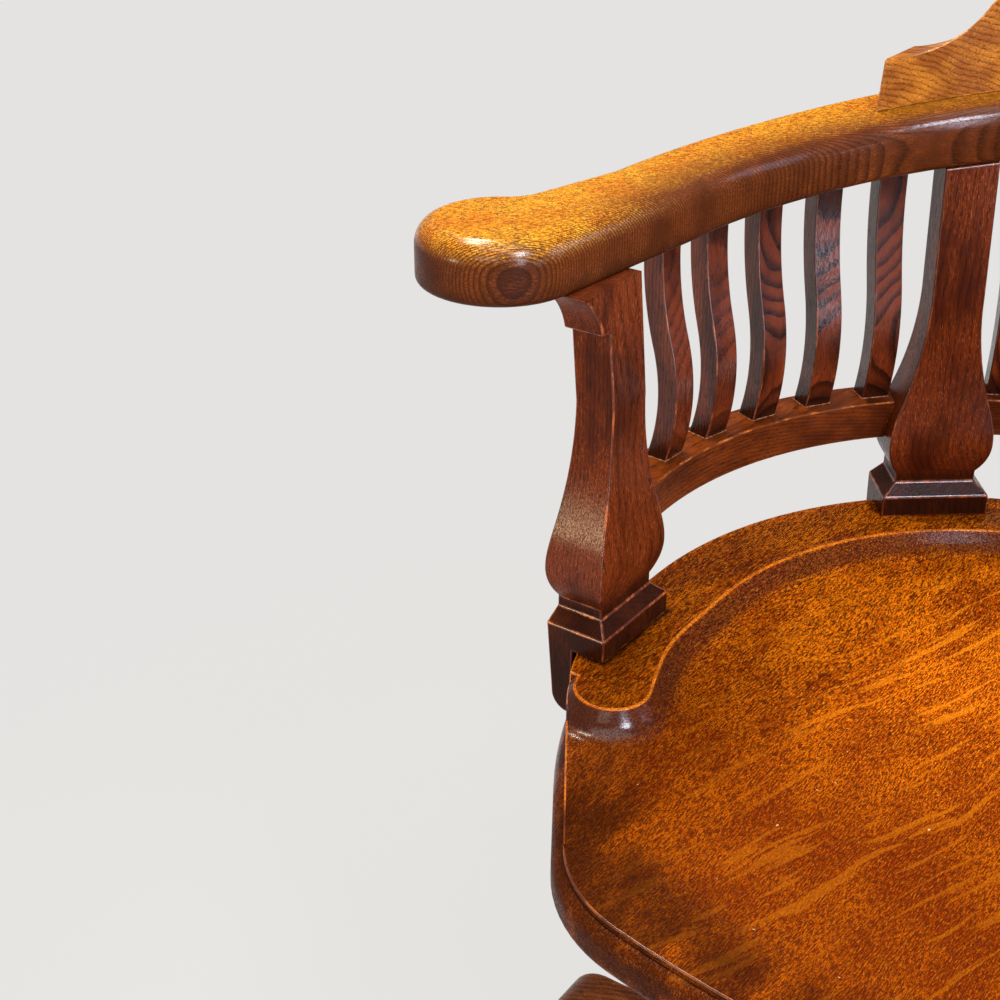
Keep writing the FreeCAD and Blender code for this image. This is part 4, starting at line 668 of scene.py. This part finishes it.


# Arms: two bowed boards with round paddles, butted at the middle of the back. Their tops are
# worn to a bright golden orange and painted lighter still, as lit from above, and their sides keep
# the brown stain, painted darker on the paddle's steep side and lower part as in shade, with the
# year rings across them as fine upright lines that close to ovals on the paddle; the ovals'
# violet tint is a painted reflection.

def arm_finish(name, way):
    """One arm's finish; way is -1 for the left one and 1 for the right one."""
    oak = Finish(name)
    along, across, third = oak.sawn((-0.70 * way, 0.71, 0), (-0.71 * way, -0.70, 0),
                                    (0.2935 * way, -0.1085, 0.704))
    x, y, z = oak.split(oak.place())
    knot = y.ramp(-0.02, -0.12)
    early = oak.year_rings(along, across - third * third * knot * 12, third, 0.00138, 0.003,
                           soft=0.6)
    cloud = oak.noise(oak.joined(along * 30, across * 38, third * 38), 5.0, 0.6)
    dashes = oak.pores(along, across, third, 0.0034, 0.0009, 0.48, 0.55)
    fine = oak.pores(along, across + 0.3, third, 0.0014, 0.0008, 0.49, 0.56)
    bright = oak.pores(along, across + 0.7, third, 0.0032, 0.0009, 0.54, 0.6)
    topside = oak.add("ShaderNodeAttribute", {"attribute_name": "topside"}, output="Fac")
    behind = y.larger(0.0)
    inward = (x * x + behind * behind).root() + cloud * 0.016
    # Painted light: faces that turn up are blended to gold, partly for the worn tops and partly for
    # the light from above; the steep sides stay brown.
    flat = topside.ramp(0.7, 1.0) * (inward.ramp(0.242, 0.292) * 0.9 + 0.1)
    turned_over = topside.ramp(0.0, 1.0) * y.ramp(0.0, -0.11)
    worn_and_lit = flat.larger(turned_over)
    gold = oak.blend(cloud.ramp(0.36, 0.64), shade(255, 172, 32), shade(236, 136, 16))
    brown = oak.blend(cloud.ramp(0.36, 0.64), shade(130, 64, 27), shade(88, 40, 16))
    wood = oak.blend(worn_and_lit, brown, gold)
    wood = oak.blend(bright * worn_and_lit * 0.55, wood, shade(255, 196, 72))
    rib = early * (fine * 0.25 + 0.75) * along.ramp(-0.06, -0.025)
    wood = oak.blend(rib * (1.0 - flat * 0.75), wood, shade(30, 13, 7))
    wood = oak.blend(dashes * (early * 0.3 + 0.55), wood, shade(84, 38, 4))
    wood = oak.blend(fine * 0.6, wood, shade(84, 36, 4))
    # The dark oval where the year rings close, with a violet tint that is a painted reflection of
    # the cool window.
    eye = (along * along + third * third * 0.6).root() + (cloud - 0.5) * 0.03
    wood = oak.blend(eye.ramp(0.021, 0.0) * (dashes * 0.6 + 0.4) * 0.8, wood, shade(40, 20, 22))
    # Painted shade: the paddle's steep sides are darkened; the mask follows the surface's slope,
    # not handling.
    handled = topside.ramp(0.45, 0.0) * along.ramp(-0.015, -0.05)
    wood = oak.blend(handled * (cloud.ramp(0.3, 0.6) * 0.3 + 0.35), wood, shade(58, 20, 6))
    # Painted shade on the lower part of the paddle's side.
    under = topside.ramp(0.3, 0.0) * third.ramp(0.004, 0.014)
    wood = oak.blend(under * 0.4, wood, shade(26, 10, 5))
    skin = oak.noise(oak.joined(x * 900, y * 900, z * 900), 3.0, 0.6)
    sheen = dashes * 0.12 + cloud * 0.08 + 0.2
    rounded = topside.ramp(0.995, 0.92) * topside.ramp(0.1, 0.4)
    return oak.close(wood, sheen, skin * 0.5 - dashes - early * 0.3, 0.0001,
                     polish=rounded * (1.0 - fine * 0.5) * 0.7, polish_rough=0.19, mirror=0.08)


for side, way in (("left", -1), ("right", 1)):
    arm = dressed(side + "_arm", "chair", arm_finish(side + " arm oak", way))
    mark = arm.data.attributes.new("topside", "FLOAT", "POINT")
    mark.data.foreach_set("value", [max(vert.normal.z, 0.0) for vert in arm.data.vertices])


# Crest rail: a bowed, leaning oak board with shaped shoulders, finished as the tops of the arms
# are. It is glued and dowelled on the arms at the back.

crest_oak = plain_oak("crest oak", (1, 0.05, 0), (0, 0.4, 1), (0, 0.27, 0.9), shade(206, 124, 32),
                      shade(156, 84, 20), shade(74, 34, 10), pitch=0.0034, wave=0.02, bow=1.0,
                      ray=shade(236, 160, 60))
rubbed_crest = rubbed_oak("rubbed crest oak", shade(240, 160, 60), shade(150, 84, 24),
                          (0.8, 0.2, 0.0))
dressed("crest_rail", "chair", crest_oak, 0.0012, rubbed=rubbed_crest)
dressed("crest_dowels", "chair", peg_oak)


# The room: a plain pale floor, a dim even sky, a broad lamp overhead and another behind the
# camera, four cool windows on the right at several heights, and three small warm lamps on the
# left: behind the chair, over its arm, and low in front.

floor_mesh = bpy.data.meshes.new("floor")
half_floor = 20.0
floor_mesh.from_pydata([(-half_floor, -half_floor, 0), (half_floor, -half_floor, 0),
                        (half_floor, half_floor, 0), (-half_floor, half_floor, 0)], [],
                       [(0, 1, 2, 3)])
floor_finish = Finish("pale floor")
floor_x, floor_y = floor_finish.split(floor_finish.place())[:2]
away = (floor_x * floor_x + floor_y * floor_y).root()
seen = floor_finish.add("ShaderNodeLightPath", output="Is Camera Ray")
mirrored = floor_finish.add("ShaderNodeLightPath", output="Is Glossy Ray")
clear = floor_finish.add("ShaderNodeLightPath", output="Is Transmission Ray")
matt = floor_finish.add("ShaderNodeBsdfDiffuse", None, {"Color": shade(208, 208, 208)})
backdrop = shade(228, 227, 225)
glow = floor_finish.add("ShaderNodeEmission", None, {"Color": backdrop, "Strength": 1.0})
mixed = floor_finish.add("ShaderNodeMixShader", None, {
    0: seen.larger(mirrored).larger(clear) * (away.ramp(0.4, 1.2) * 0.16 + 0.84), 1: matt, 2: glow})
floor_finish.add("ShaderNodeOutputMaterial", None, {"Surface": mixed})
floor_mesh.materials.append(floor_finish.material)
floor = bpy.data.objects.new("floor", floor_mesh)
bpy.context.scene.collection.objects.link(floor)

world = bpy.data.worlds.new("room")
world.use_nodes = True
sky = Bench(world.node_tree)
world.node_tree.nodes.clear()
eye = sky.add("ShaderNodeLightPath", output="Is Camera Ray")
lit = sky.add("ShaderNodeBackground", None, {"Color": (1.0, 0.96, 0.92), "Strength": 0.22})
wall = sky.add("ShaderNodeBackground", None, {"Color": backdrop, "Strength": 1.0})
either = sky.add("ShaderNodeMixShader", None, {0: eye, 1: lit, 2: wall})
sky.add("ShaderNodeOutputWorld", None, {"Surface": either})
bpy.context.scene.world = world

seat_top = Vector((-0.15, -0.05, 0.55))


def lamp(name, azimuth, elevation, distance, width, height, power, tint):
    """A soft rectangular lamp that faces the seat, seen from it in a direction in degrees."""
    side, rise = math.radians(azimuth), math.radians(elevation)
    away = Vector((math.cos(side) * math.cos(rise), math.sin(side) * math.cos(rise),
                   math.sin(rise)))
    light = bpy.data.lights.new(name, "AREA")
    light.shape, light.size, light.size_y = "RECTANGLE", width, height
    light.energy, light.color = power, tint
    stand = bpy.data.objects.new(name, light)
    bpy.context.scene.collection.objects.link(stand)
    stand.location = seat_top + away * distance
    stand.rotation_euler = away.to_track_quat("Z", "Y").to_euler()
    stand.visible_camera = False


lamp("overhead", -80, 80, 2.6, 1.8, 1.8, 22, (1.0, 0.97, 0.93))
lamp("behind the camera", -76, 34, 2.8, 1.4, 1.0, 10, (1.0, 0.95, 0.88))
lamp("window", 34, 18, 3.0, 1.5, 2.2, 26, (0.66, 0.74, 1.0))
lamp("low window", 0, 0, 3.0, 0.8, 0.8, 30, (0.72, 0.82, 1.0))
lamp("tall window", -28, 15, 2.8, 0.36, 2.4, 42, (0.76, 0.83, 1.0))
lamp("warm lamp behind", 150, 60, 2.6, 0.34, 0.34, 30, (1.0, 0.88, 0.68))
lamp("warm lamp over the arm", 178, 67, 2.6, 0.5, 0.44, 34, (1.0, 0.9, 0.72))
lamp("window top", -21, 50, 2.6, 0.56, 0.6, 42, (0.78, 0.84, 1.0))
lamp("warm panel", -118, 5, 2.4, 0.5, 0.36, 18, (1.0, 0.82, 0.5))

camera = bpy.data.cameras.new("camera")
camera.lens, camera.sensor_width = 58.32, 36.0
viewer = bpy.data.objects.new("camera", camera)
bpy.context.scene.collection.objects.link(viewer)
right = Vector((0.80991072, 0.58655317, 0.0))
above = Vector((-0.27781064, 0.38360004, 0.88072258))
turn = Matrix((right, above, right.cross(above))).transposed().to_4x4()
stand_point = (0.18438592, -0.76786853, 0.99377235)
viewer.matrix_world = Matrix.Translation(stand_point) @ turn
bpy.context.scene.camera = viewer
bpy.context.scene.view_settings.view_transform = "Standard"

bpy.context.view_layer.update()
